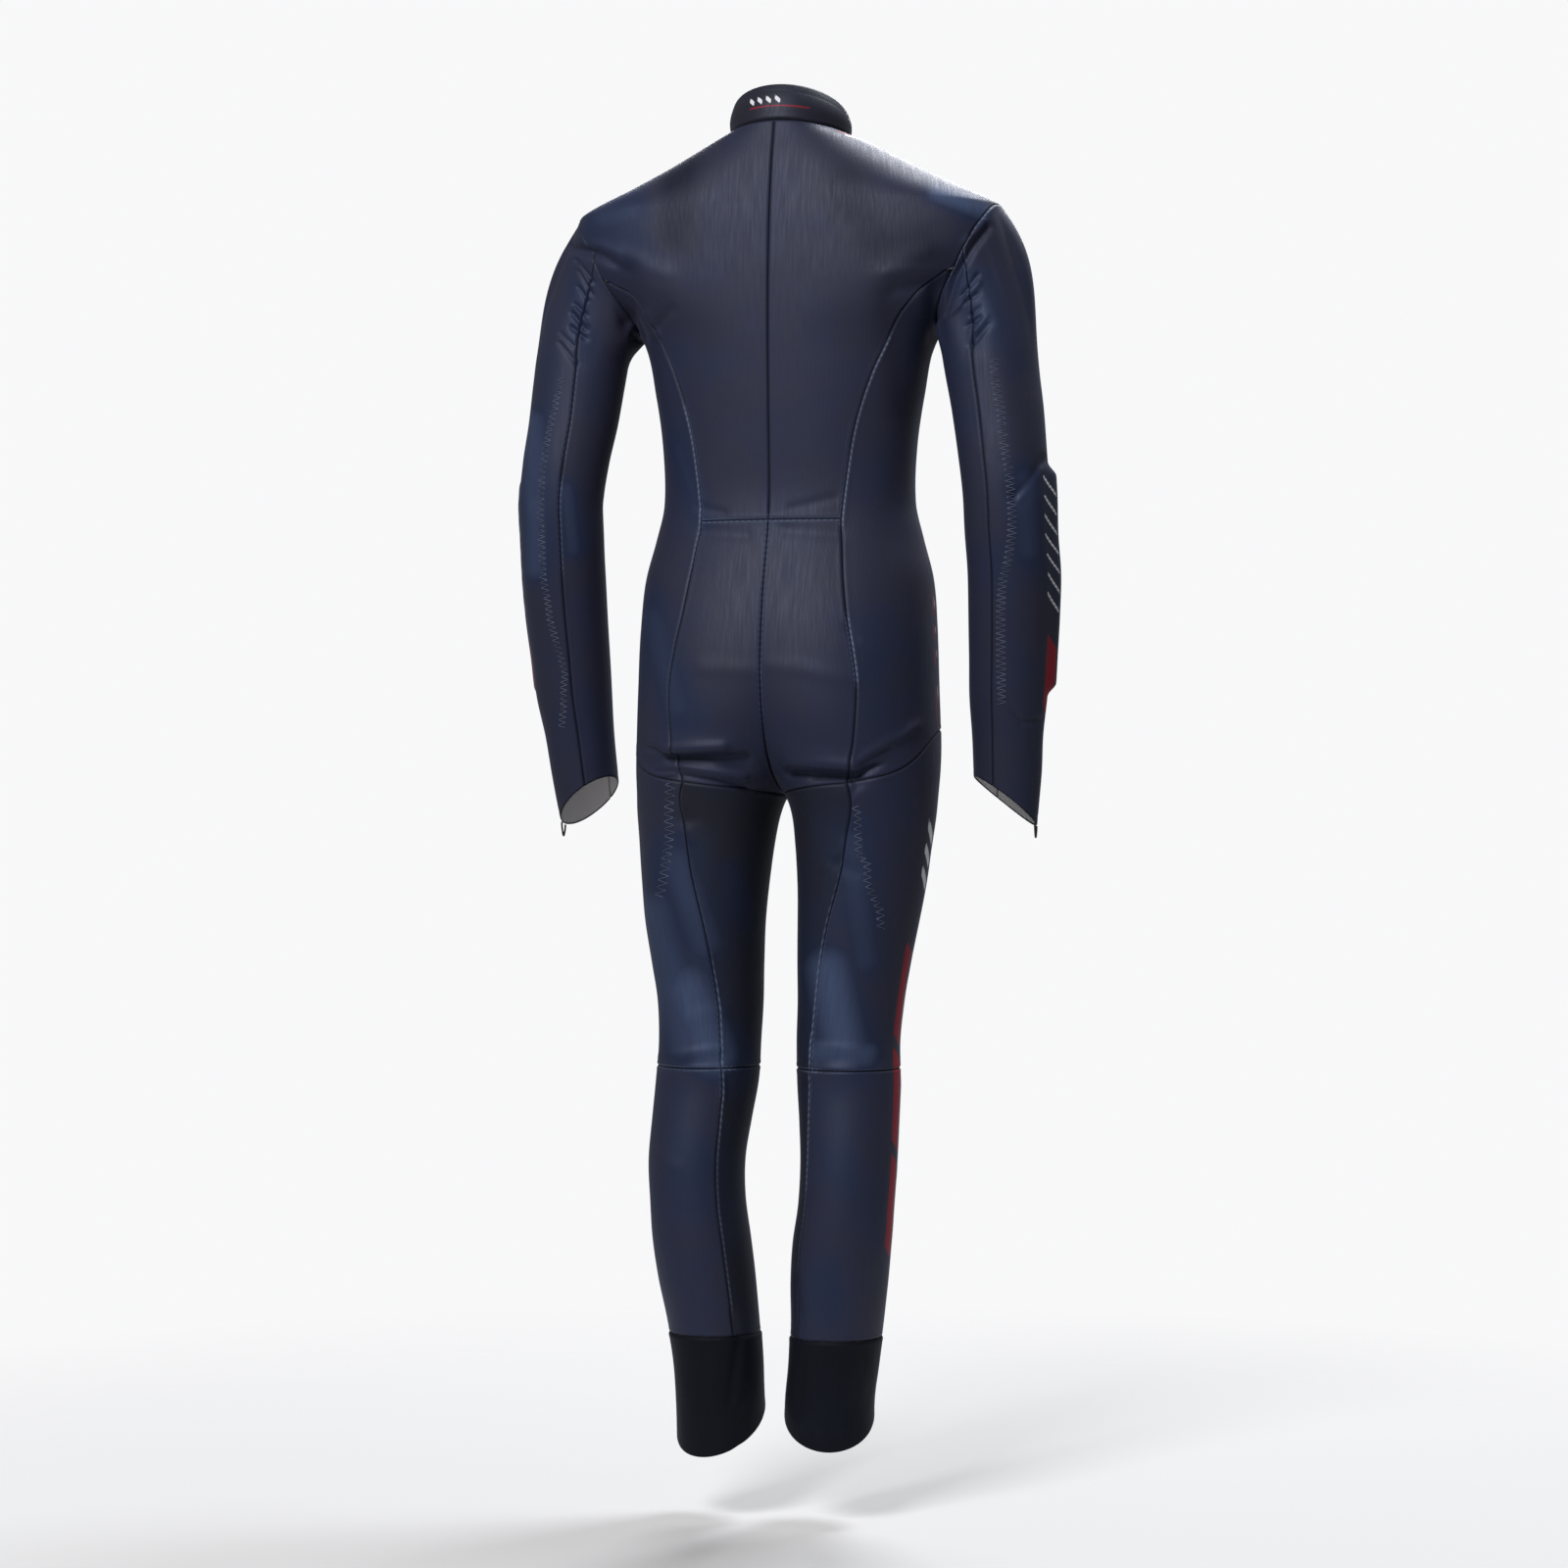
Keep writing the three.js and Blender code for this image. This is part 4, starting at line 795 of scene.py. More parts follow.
def seam_profile(points, seams, hems):
    """Rolls the cloth in at its seams, leaving a groove with a low ridge, and at its hems."""
    rows, columns = run_lengths(points, 0), run_lengths(points, 1)
    away = dict(top=rows[0], bottom=rows[1], left=columns[0], right=columns[1])
    to_seam, to_hem = nearest(away, seams), nearest(away, hems)
    wavy = 1 + RIDGE_UNEVENNESS * uneven(points, RIDGE_WAVE, RIDGE_SEED)
    height = 0
    for reach, wave, (rise, middle, width) in (
            (to_seam, 1, SEAM_GROOVE), (to_seam, wavy, SEAM_RIDGE),
            (to_hem, 1, HEM_EDGE), (to_hem, 1, HEM_STITCHING)):
        height = height + rise * wave * bell(reach - middle, width)
    return height, to_seam, to_hem, columns[0], rows[0]


# Paint: each mark is a field of millimetres, above 0 inside the mark.
def bar(across, down, centre, half, top, bottom, slant=0.0):
    slid = down + slant * (across - centre)
    return np.minimum(half - np.abs(across - centre), np.minimum(top - slid, slid - bottom))


def union(*marks):
    return np.maximum.reduce(marks)


def across_from(side, u, level, line_u):
    """The distance round the body from a line down it, in millimetres."""
    step = 0.01
    width = np.linalg.norm(
        body_point(side, line_u + step, level) - body_point(side, line_u - step, level), axis=-1)
    return (u - line_u) * width / (2 * step)


# A field with no mark, and the lines down the body that the marks are placed from.
NOWHERE = -9.0
HIP_PAINT, THIGH_PAINT, LEG_PAINT = 0.487, 0.47, 0.455


def bars(across, down, count, step, centre, half, top, bottom, slant):
    """Several like bars, each a step below the last."""
    return union(*(bar(across, down, centre, half, top - step * k, bottom - step * k, slant)
                   for k in range(count)))


# The marks: middle, half width, top, bottom and slant, after the number of bars and the step
# between them where there are several. The legs' own marks go by the side, 1 or -1.
LEG_BARS = {1: (3, 110, 10, 10, -868, -966, 0.8), -1: (2, 108, 10, 10, -1050, -1146, 0.8)}
LEG_LINE = {1: (24, 1.5, -872, -1190, 0.8), -1: (24, 1.5, -1054, -1258, 0.8)}
LEG_DASHES, THIGH_DASHES = (3, 28, 36, 7, -1086, -1100, 0.8), (3, 24, 10, 11, -742, -754, 0.9)
HIP_RED, HIP_WHITE = (2, 2.6, -436, -690, 0.7), (8.5, 1.2, -452, -676, 0.7)
SLEEVE_DASHES, SLEEVE_BAR = (7, 20, 0, 12, -386, -390, 0.8), (2, 10, -548, -622, 0.8)
COLLAR_RED, COLLAR_DASHES, COLLAR_DASH = (4, 34, 15.5, 14), (-27, -17, -7, 3), (3, 25, 19.5, 0.9)
FOREARM_HALF, SLEEVE_PAINT_ANGLE = 48, 5
NECK_LINES, NECK_ENDS, NECK_ROUND = {"red": (6, 1.5), "white": (10.5, 1.0)}, (0.30, 0.62), 300


def leg_paint(side, u, level):
    """Slanted red bars down the outer leg, with a thin white line and short white dashes."""
    across = across_from(side, u, level, LEG_PAINT)
    white = union(bar(across, level, *LEG_LINE[side]), bars(across, level, *LEG_DASHES))
    return {"red": bars(across, level, *LEG_BARS[side]), "white": white}


def hip_paint(side, u, level):
    """Fine red and white lines down the hip, which the sheet's cells break into short strokes."""
    across = across_from(side, u, level, HIP_PAINT)
    return {"red": bar(across, level, *HIP_RED), "white": bar(across, level, *HIP_WHITE)}


def thigh_paint(side, u, level):
    """The top of the leg's paint, and three white dashes."""
    paint = leg_paint(side, u, level)
    across = across_from(side, u, level, THIGH_PAINT)
    paint["white"] = union(paint["white"], bars(across, level, *THIGH_DASHES))
    return paint


def sleeve_paint(angle, level):
    """Slanted dashes down the outside of the forearm, then one red bar."""
    turned = (angle + 180) % 360 - 180
    across = (SLEEVE_PAINT_ANGLE - turned) * math.pi / 180 * FOREARM_HALF
    return {"red": bar(across, level, *SLEEVE_BAR), "white": bars(across, level, *SLEEVE_DASHES)}


def neck_paint(side, u, level):
    """A red line and a white one that follow the neck seam over the shoulders."""
    ends = np.minimum(u - NECK_ENDS[0], NECK_ENDS[1] - u) * NECK_ROUND
    return {ink: np.minimum(half - np.abs(NECK - level - middle), ends)
            for ink, (middle, half) in NECK_LINES.items()}


def collar_paint(across, height):
    dashes = (bar(across, height, centre, *COLLAR_DASH) for centre in COLLAR_DASHES)
    return {"red": bar(across, height, *COLLAR_RED), "white": union(*dashes)}


def linked(name, data):
    """A new object of a mesh, a light or a camera, put in the scene."""
    made = bpy.data.objects.new(name, data)
    bpy.context.scene.collection.objects.link(made)
    return made


def meshed(name, vertices, faces):
    """A new smooth mesh of points given in millimetres."""
    mesh = bpy.data.meshes.new(name)
    mesh.from_pydata((np.asarray(vertices) * MM).tolist(), [], faces)
    mesh.polygons.foreach_set("use_smooth", [True] * len(faces))
    return mesh


def numbered(rows, columns, closed):
    """The numbers of a grid's points, where a closed one has its first column again at the end."""
    index = np.arange(rows * columns).reshape(rows, columns)
    return np.concatenate((index, index[:, :1]), 1) if closed else index


def cells(index):
    """The four corners of each cell of a grid, in order round it."""
    corners = (index[:-1, :-1], index[1:, :-1], index[1:, 1:], index[:-1, 1:])
    return np.stack(corners, -1).reshape(-1, 4)


OTHER_WAY_ROUND = (0, 3, 2, 1)


def shell(name, points, normals, thickness, closed, fields, across, down):
    """A closed thin shell with its reverse on the second material, and its fields as attributes."""
    index = numbered(*points.shape[:2], closed)
    count = across.size
    outside = cells(index)

    def rim(a, b, turn=0):
        return np.roll(np.stack((a, b, b + count, a + count), -1), turn, 1)

    first, last, left, right = index[0], index[-1], index[:, 0], index[:, -1]
    border = [rim(first[:-1], first[1:]), rim(last[1:], last[:-1], -1)]
    if not closed:
        border += [rim(left[1:], left[:-1]), rim(right[:-1], right[1:], -1)]
    faces = np.concatenate((outside, outside[:, OTHER_WAY_ROUND] + count, *border))
    way = np.cross(points[1, 0] - points[0, 0], points[0, 1] - points[0, 0])
    if (way * normals[0, 0]).sum() > 0:
        faces = faces[:, ::-1]
    mesh = meshed(name, np.concatenate((points, points - normals * thickness)).reshape(-1, 3),
                  faces.tolist())
    reverse = np.zeros(len(faces), int)
    reverse[len(outside):2 * len(outside)] = 1
    mesh.polygons.foreach_set("material_index", reverse.tolist())
    for field, values in fields.items():
        both = np.tile(values.ravel(), 2).astype(np.float32)
        mesh.attributes.new(field, "FLOAT", "POINT").data.foreach_set("value", both)
    corners = np.zeros(len(mesh.loops), int)
    mesh.loops.foreach_get("vertex_index", corners)
    flat = np.stack((across.ravel(), down.ravel()), -1) * MM
    mesh.uv_layers.new(name="cloth").data.foreach_set("uv", flat[corners % count].ravel())
    mesh.update()
    return linked(name, mesh)


sheets = {}
# Where no stroke can be seen, the tint with its painted light and shade, and the thread with its
# painted highlight, take one even strength.
FIELD_LIMIT, TINT_AND_LIGHT_ELSEWHERE, THREAD_AND_HIGHLIGHT_ELSEWHERE = 40, 0.4, 0.3


def lay(node, slot, points, normals, seams, hems, paint=None, thickness=CLOTH, closed=False,
        finish=None):
    """Makes one cut piece of cloth in place of its solid."""
    height, to_seam, to_hem, across, down = seam_profile(points, seams, hems)
    height = height + crease_height(points, normals)
    bare = np.full(across.shape, NOWHERE)
    # The tint field also holds wear with a painted highlight and painted shade, and the thread field a
    # painted highlight on the seams.
    fields = {
        "seam": np.minimum(to_seam, FIELD_LIMIT), "hem": np.minimum(to_hem, FIELD_LIMIT),
        "tint": strokes(TINTS_AND_PAINTED_LIGHT, points, normals, TINT_AND_LIGHT_ELSEWHERE),
        "thread_and_highlight": strokes(THREAD_AND_HIGHLIGHT_STROKES, points, normals, THREAD_AND_HIGHLIGHT_ELSEWHERE),
        **(paint or {"red": bare, "white": bare}),
    }
    if closed:
        around = np.linalg.norm(points - np.roll(points, 1, 1), axis=-1)
        across = np.cumsum(around, 1)
    raised = points + normals * height[..., None]
    piece = shell(f"cloth_{node}", raised, normals, thickness, closed, fields, across, down)
    for material in (CLOTHS[finish or slot], CLOTHS["reverse"]):
        piece.data.materials.append(material)
    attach(piece, "suit")
    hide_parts(node)
    quads = cells(numbered(*points.shape[:2], False))
    sheets[node] = BVHTree.FromPolygons(raised.reshape(-1, 3).tolist(), quads.tolist())


# Materials. Every cloth reads its own knit, seams and paint, and its painted highlights and painted
# shade, from the sheet's fields.
class Web:
    """The nodes of a material or a world, with short ways to make them and to set their inputs."""

    def __init__(self, owner):
        owner.use_nodes = True
        self.nodes, self.wires = owner.node_tree.nodes, owner.node_tree.links

    def put(self, socket, value):
        """Joins a socket to another node's output, or gives it a constant."""
        if isinstance(value, bpy.types.NodeSocket):
            self.wires.new(value, socket)
        else:
            socket.default_value = (*value, 1) if socket.type == "RGBA" else value

    def feed(self, node, inputs):
        for name, value in inputs.items():
            self.put(node.inputs[name], value)

    def make(self, kind, inputs, output=0, **settings):
        """One of a new node's outputs."""
        node = self.nodes.new(kind)
        for name, value in settings.items():
            setattr(node, name, value)
        self.feed(node, inputs)
        return node.outputs[output]

    def field(self, name):
        return self.make("ShaderNodeAttribute", {}, "Fac", attribute_name=name)

    def mapped(self, source, low, high, to_low, to_high):
        ends = {"From Min": low, "From Max": high, "To Min": to_low, "To Max": to_high}
        return self.make("ShaderNodeMapRange", {"Value": source, **ends}, clamp=True)

    def blended(self, share, first, second):
        node = self.nodes.new("ShaderNodeMix")
        node.data_type = "RGBA"
        self.put(node.inputs["Factor"], share)
        colours = [socket for socket in node.inputs if socket.type == "RGBA"]
        for socket, value in zip(colours, (first, second)):
            self.put(socket, value)
        return next(socket for socket in node.outputs if socket.type == "RGBA")

    def times(self, first, second):
        return self.make("ShaderNodeMath", {0: first, 1: second}, operation="MULTIPLY")

    def plus(self, first, second):
        return self.make("ShaderNodeMath", {0: first, 1: second}, operation="ADD")

    def place(self):
        return self.make("ShaderNodeTexCoord", {}, "Object")

    def noise(self, place, scale, detail):
        inputs = {"Vector": place, "Scale": scale, "Detail": detail}
        return self.make("ShaderNodeTexNoise", inputs, "Fac")

    def bands(self, place, period, direction):
        """Even bands a given distance apart, in the cloth's own flat measure."""
        inputs = {"Vector": place, "Scale": WAVE_TURNS / period}
        return self.make("ShaderNodeTexWave", inputs, "Fac", wave_type="BANDS",
                         bands_direction=direction)

    def bump(self, height, strength, distance):
        inputs = {"Height": height, "Strength": strength, "Distance": distance}
        return self.make("ShaderNodeBump", inputs)


def fresh(name):
    material = bpy.data.materials.new(name)
    web = Web(material)
    return material, web, web.nodes["Principled BSDF"]


RIB_PERIOD, STITCH_PERIOD = 1.3 * MM, 2.3 * MM
WAVE_TURNS = 2 * math.pi / 20
RED, WHITE = (0.22, 0.006, 0.014), (0.62, 0.63, 0.66)
# A lighter blue for wear and painted highlights, and a dark navy for painted shade.
WEAR_AND_HIGHLIGHT, PAINTED_SHADE = (0.048, 0.072, 0.142), (0.003, 0.0045, 0.013)
# The seams' thread colour, lighter as a painted highlight, and the dark of their grooves.
THREAD_AND_HIGHLIGHT_COLOUR, GROOVE = (0.085, 0.11, 0.18), (0.002, 0.002, 0.004)

# Noises: the stretch of the streaks, and the scale and detail of each.
STREAKS, STREAK_NOISE = (430, 26, 1), (1.0, 3.0)
CLOUD_NOISE, SLACK_NOISE, THREAD_NOISE = (13.0, 6.0), (24.0, 2.0), (120.0, 2.0)
RIB_HEIGHT, STREAK_HEIGHT, SLACK_HEIGHT = 0.5, 0.4, 3.5

# What a noise or a field is mapped from and to.
CLOUDED, WEAR_AND_HIGHLIGHT_SHARE, PAINTED_SHADE_SHARE = (0.40, 0.64, 0.0, 0.6), (0.8, 2.2, 0.0, 1.0), (-1.0, 0.0, 0.8, 0.0)
STREAKED, PAINTED = (0.35, 0.7, 0.0, 0.22), (-0.3, 0.3, 0.0, 1.0)
STITCHED_FROM, STITCHED_TO = (0.7, 1.1, 0.0, 1.0), (2.0, 2.9, 1.0, 0.0)
STITCH_RISE, THREAD_FADE = (0.35, 0.65, 0.35, 1.0), (0.35, 0.65, 0.0, 1.0)
IN_GROOVE, GROOVE_UNDER_HIGHLIGHT, AT_HEM = (0.4, 1.2, 0.9, 0.0), (0.2, 1.0, 1.0, 0.15), (1.2, 1.8, 1.0, 0.0)


def cloth(name, base, tint, shade, roughness, painted=True, gloss=0.26):
    """A knit with ribs that run down it, streaks along them, and stitches beside its seams, whose
    thread colour is also a painted highlight; its tint field adds wear with a painted highlight, and
    painted shade.
    """
    material, web, shader = fresh(name)
    flat = web.make("ShaderNodeUVMap", {}, uv_map="cloth")
    stretched = web.make("ShaderNodeMapping", {"Vector": flat, "Scale": STREAKS})
    streak = web.noise(stretched, *STREAK_NOISE)
    rib = web.bands(flat, RIB_PERIOD, "X")
    stitch = web.bands(flat, STITCH_PERIOD * math.sqrt(2), "DIAGONAL")
    seam, thread_and_highlight, tint_and_light = (web.field(kind) for kind in ("seam", "thread_and_highlight", "tint"))
    cloud = web.mapped(web.noise(web.place(), *CLOUD_NOISE), *CLOUDED)
    beside = web.times(web.mapped(seam, *STITCHED_FROM), web.mapped(seam, *STITCHED_TO))
    sewn = web.times(beside, web.mapped(stitch, *STITCH_RISE))
    # The groove's dark gives way where the thread field paints a highlight on the seam.
    groove = web.times(web.mapped(seam, *IN_GROOVE), web.mapped(thread_and_highlight, *GROOVE_UNDER_HIGHLIGHT))
    colour = web.blended(web.plus(tint_and_light, cloud), base, tint)
    # Lighter as wear and a painted highlight where the tint field passes 0.8.
    colour = web.blended(web.mapped(tint_and_light, *WEAR_AND_HIGHLIGHT_SHARE), colour, WEAR_AND_HIGHLIGHT)
    # Painted shade where the tint field falls below 0.
    colour = web.blended(web.mapped(tint_and_light, *PAINTED_SHADE_SHARE), colour, PAINTED_SHADE)
    colour = web.blended(web.mapped(streak, *STREAKED), colour, shade)
    for kind, ink in (("red", RED), ("white", WHITE)) if painted else ():
        colour = web.blended(web.mapped(web.field(kind), *PAINTED), colour, ink)
    # Stitches beside the seams take the thread colour, which also paints a highlight along the seam
    # ridges.
    colour = web.blended(web.times(sewn, thread_and_highlight), colour, THREAD_AND_HIGHLIGHT_COLOUR)
    colour = web.blended(groove, colour, GROOVE)
    colour = web.blended(web.mapped(web.field("hem"), *AT_HEM), colour, GROOVE)
    knit = web.plus(web.times(rib, RIB_HEIGHT), web.times(streak, STREAK_HEIGHT))
    slack = web.times(web.noise(web.place(), *SLACK_NOISE), SLACK_HEIGHT)
    height = web.plus(web.plus(knit, sewn), slack)
    web.feed(shader, {
        "Base Color": colour, "Normal": web.bump(height, 0.35, 0.0003),
        "Roughness": web.mapped(streak, 0.3, 0.7, roughness - 0.05, roughness + 0.07),
        "Specular IOR Level": gloss, "Specular Tint": (0.74, 0.80, 1.0),
        "Sheen Weight": 0.05, "Sheen Roughness": 0.35, "Sheen Tint": (0.62, 0.68, 0.95),
    })
    return material


CLOTHS = {
    "navy_cloth": cloth(
        "navy_knit", (0.0205, 0.0215, 0.040), (0.013, 0.020, 0.050), (0.014, 0.0145, 0.029), 0.53),
    "dark_cloth": cloth(
        "dark_knit", (0.012, 0.0125, 0.020), (0.010, 0.015, 0.036), (0.008, 0.008, 0.013), 0.55),
    "cuff": cloth(
        "cuff_knit", (0.0050, 0.0050, 0.0075), (0.0050, 0.0065, 0.013), (0.004, 0.004, 0.006), 0.62,
        gloss=0.12),
    "collar_cloth": cloth(
        "collar_knit", (0.014, 0.014, 0.021), (0.014, 0.016, 0.030), (0.010, 0.010, 0.015), 0.5),
    "zip_tape": cloth(
        "tape_weave", (0.007, 0.007, 0.009), (0.009, 0.009, 0.012), (0.005, 0.005, 0.007), 0.7, False),
    "reverse": cloth(
        "knit_reverse", (0.80, 0.76, 0.73), (0.74, 0.73, 0.75), (0.66, 0.63, 0.61), 0.8, False, 0.2),
}

# The size of each grid and of its cells. A sleeve has almost half of its rows in its top third.
BODY_CELL, LEG_CELL, SLEEVE_CELL = 3.1, 3.6, 2.3
SLEEVE_LENGTH, SLEEVE_WIDTHS = 600, {"outer": 220, "under": 120}
FINE_ROWS, FINE_SHARE = 0.45, 0.32
CUFF_LENGTH, CUFF_COLUMNS = 100, 90
COLLAR_HEIGHT, COLLAR_CELL, COLLAR_COLUMNS, COLLAR_CLOTH = 40, 2, 241, 1.4
FRONT_LENGTH, ZIP_CELL, ZIP_COLUMNS, ZIP_CLOTH = 700, 4, 9, 1.0
ZIP_COLLAR_LENGTH, ZIP_COLLAR_CELL = 30, 3
LONG_PANEL = 320
ALL = ("top", "bottom", "left", "right")
PANELS = {
    "back": (back_panel, 430, 140, neck_paint),
    "seat": (seat_panel, 275, 95, None),
    "side": (side_panel, 470, 110, hip_paint),
    "front": (front_panel, FRONT_LENGTH, 110, neck_paint),
    "thigh_back": (thigh_panel("back"), 300, 120, thigh_paint),
    "thigh_front": (thigh_panel("front"), 320, 110, thigh_paint),
    "thigh_inner": (thigh_panel("inner"), 290, 140, None),
    "calf_back": (calf_panel("back"), 280, 110, leg_paint),
    "calf_front": (calf_panel("front"), 280, 80, leg_paint),
    "calf_inner": (calf_panel("inner"), 280, 80, None),
}


def lay_panel(panel, word, side):
    rule, length, width, paint = PANELS[panel]
    cell = BODY_CELL if length > LONG_PANEL or panel == "seat" else LEG_CELL
    t, s = np.meshgrid(shares(length, cell), shares(width, cell), indexing="ij")
    u, level = rule(s, t)
    points, normals = body_point(side, u, level), body_normal(side, u, level)
    if panel in ("back", "front"):
        normals = upper_corners(side, points, normals, u, level, t, panel == "front")
    if panel == "side":
        top_angle = mix(BACK_JOIN, FRONT_JOIN, s)
        weight = 1 - smooth(armhole(top_angle)[1] - level, 0, CORNER)
        normals = corner_blend(normals, armhole_normal(side, top_angle), weight)
    slot = "dark_cloth" if panel.endswith("inner") else "navy_cloth"
    marks = paint(side, u, level) if paint else None
    lay(f"{panel}_{word}", slot, points, normals, ALL, (), marks)


def lay_sleeve(kind, word, side):
    rows = np.interp(shares(SLEEVE_LENGTH, SLEEVE_CELL), (0, FINE_ROWS, 1), (0, FINE_SHARE, 1))
    t, s = np.meshgrid(rows, shares(SLEEVE_WIDTHS[kind], SLEEVE_CELL), indexing="ij")
    angle, run = sleeve_panel(kind == "outer")(s, t)
    points, normals = sleeve_point(side, angle, run), sleeve_normal(side, angle, run)
    weight = 1 - smooth(run_lengths(points, 0)[0], 0, CORNER)
    normals = corner_blend(normals, armhole_normal(side, angle), weight)
    lay(f"sleeve_{kind}_{word}", "navy_cloth", points, normals, ("top", "left", "right"),
        ("bottom",), sleeve_paint(angle, points[..., 2]))


def lay_cuff(word, side):
    around = np.arange(CUFF_COLUMNS) / CUFF_COLUMNS
    t, u = np.meshgrid(shares(CUFF_LENGTH, CELL), around, indexing="ij")
    level = mix(CUFF_SEAM, hem_level(side, u), t)
    normals = body_normal(side, u, level)
    points = body_point(side, u, level) + normals * CUFF_STEP
    lay(f"ankle_cuff_{word}", "dark_cloth", points, normals, ("top",), ("bottom",), closed=True,
        finish="cuff")


neck_edge = float(front_edge(NECK, ZIP_HALF_WIDTH))


def lay_collar():
    """From the front of the right half round the back to the front of the left."""
    columns = np.linspace(-1, 1, COLLAR_COLUMNS)
    rise, place = np.meshgrid(shares(COLLAR_HEIGHT, COLLAR_CELL), columns, indexing="ij")
    u = neck_edge * np.abs(place)

    def whole(rule, *places):
        return np.where((place <= 0)[..., None], rule(1, *places), rule(-1, *places))

    points = whole(collar_point, u, rise)
    reached, _ = run_lengths(points, 0)
    weight = 1 - smooth(reached, 0, CORNER)
    normals = corner_blend(whole(collar_normal, u, rise), whole(neck_normal, u), weight)
    around, rest = run_lengths(points, 1)
    lay("collar", "collar_cloth", points, normals, ("top", "left", "right"), ("bottom",),
        collar_paint((rest - around) / 2, reached), COLLAR_CLOTH)


def lay_zip_tape():
    """Fills the opening between the fronts, up to the top of the collar, and returns its middle."""
    t = shares(FRONT_LENGTH, ZIP_CELL)
    t = t[t <= mix(UPPER_PART, 1, ZIP_END_SHARES[1])]
    edge = front_panel(np.ones_like(t), t)
    rises = shares(ZIP_COLLAR_LENGTH, ZIP_COLLAR_CELL)[::-1][:-1]
    on_collar = np.full_like(rises, neck_edge), rises
    line = np.concatenate((collar_point(1, *on_collar), body_point(1, *edge)))
    ways = np.concatenate((collar_normal(1, *on_collar), body_normal(1, *edge)))
    mirror = np.ones((ZIP_COLUMNS, 3))
    mirror[:, 0] = np.linspace(1, -1, ZIP_COLUMNS)
    lay("zip_tape", "zip_tape", line[:, None] * mirror, unit(ways[:, None] * mirror),
        ("left", "right"), ("top",), thickness=ZIP_CLOTH)
    return line * (0, 1, 1), unit(ways * (0, 1, 1))


for word, side in SIDES.items():
    for panel in PANELS:
        lay_panel(panel, word, side)
    for kind in SLEEVE_WIDTHS:
        lay_sleeve(kind, word, side)
    lay_cuff(word, side)
lay_collar()
zip_line, zip_ways = lay_zip_tape()

# Stitching: zigzag lines on the back thighs and the outer sleeves, each with its width, its
# pitch and its middle line in the photograph's pixels.
ZIGZAGS = {
    "thigh_back_left": (11, 7.5, [
        (684, 797), (682, 833), (683, 850), (680, 876), (676, 900), (672, 917)]),
    "thigh_back_right": (9, 7.0, [
        (872, 822), (875, 831), (876, 872), (885, 882), (885, 900), (892, 917), (898, 929),
        (899, 951)]),
    "sleeve_outer_left": (8, 5.5, [
        (573, 385), (565, 420), (557, 455), (553, 487), (551, 524), (553, 561), (554, 588),
        (559, 615), (562, 636), (570, 663), (577, 687), (575, 700), (575, 721), (573, 743)]),
    "sleeve_outer_right": (11, 5.6, [
        (1014, 366), (1015, 388), (1021, 416), (1024, 450), (1029, 478), (1031, 494), (1033, 528),
        (1032, 550), (1029, 570), (1022, 598), (1021, 626), (1021, 646), (1022, 721)]),
}
THREAD_RADIUS, THREAD_SIDES = 0.36, 5


def seen_at(tree, px, py):
    """The point of a sheet seen at a pixel of the photograph, and its outward direction."""
    eye = CAMERA["distance"] * TO_CAMERA + np.array((0, 0, CAMERA["level"]))
    aside = (px - CAMERA["across"]) / CAMERA["focal"] * ACROSS
    way = aside - TO_CAMERA - np.array((0, 0, (py - CAMERA["up"]) / CAMERA["focal"]))
    spot, normal, _, _ = tree.ray_cast(Vector(eye), Vector(unit(way)))
    if spot is None:
        return None
    normal = np.array(normal)
    return np.array(spot), normal if normal @ TO_CAMERA > 0 else -normal


def tubes(name, runs, radius, sides, material):
    """Round threads along lists of points with directions, closed at their ends, in one mesh."""
    vertices, faces = [], []
    turns = (np.arange(sides) * 2 * math.pi / sides)[:, None]
    for points, normals in runs:
        tangent = unit(np.gradient(points, axis=0))
        aside = unit(np.cross(tangent, normals))
        up = np.cross(aside, tangent)
        ring = aside[:, None] * np.cos(turns) + up[:, None] * np.sin(turns)
        index = len(vertices) + numbered(len(points), sides, True)
        vertices.extend((points[:, None] + radius * ring).reshape(-1, 3).tolist())
        faces.extend(cells(index)[:, OTHER_WAY_ROUND].tolist())
        faces.extend([index[0, -2::-1].tolist(), index[-1, :-1].tolist()])
    mesh = meshed(name, vertices, faces)
    mesh.materials.append(material)
    return linked(name, mesh)


def spaced(line, start, spare, step, *values):
    """Values given at a line's points, read at even steps along it."""
    reached = run_lengths(line, 0)[0]
    steps = np.arange(start, reached[-1] - spare, step)
    return [np.stack([np.interp(steps, reached, part) for part in value.T], -1) for value in values]


THREAD_SHARES = (0, 0.2, 0.5, 0.8, 1)
THREAD_ARCH = np.array((-0.4, 0.2, 0.4, 0.2, -0.4))[:, None]


def zigzag_runs(tree, width, pitch, middle):
    """Each leg of a zigzag as one arched thread that dips into the cloth at both ends."""
    middle = np.array(middle, float)
    knees, = spaced(middle, 0, 0, pitch / 2, middle)
    knees[:, 0] += width / 2 * (-1) ** np.arange(len(knees))
    runs = []
    for start, end in zip(knees[:-1], knees[1:]):
        found = [seen_at(tree, *mix(start, end, share)) for share in THREAD_SHARES]
        if None not in found:
            spots, normals = (np.array(part) for part in zip(*found))
            runs.append((spots + normals * THREAD_ARCH, normals))
    return runs


def thread_material():
    material, web, shader = fresh("stitch_thread")
    faded = web.mapped(web.noise(web.place(), *THREAD_NOISE), *THREAD_FADE)
    colour = web.blended(faded, (0.035, 0.042, 0.08), (0.10, 0.12, 0.19))
    web.feed(shader, {"Base Color": colour, "Roughness": 0.6})
    return material


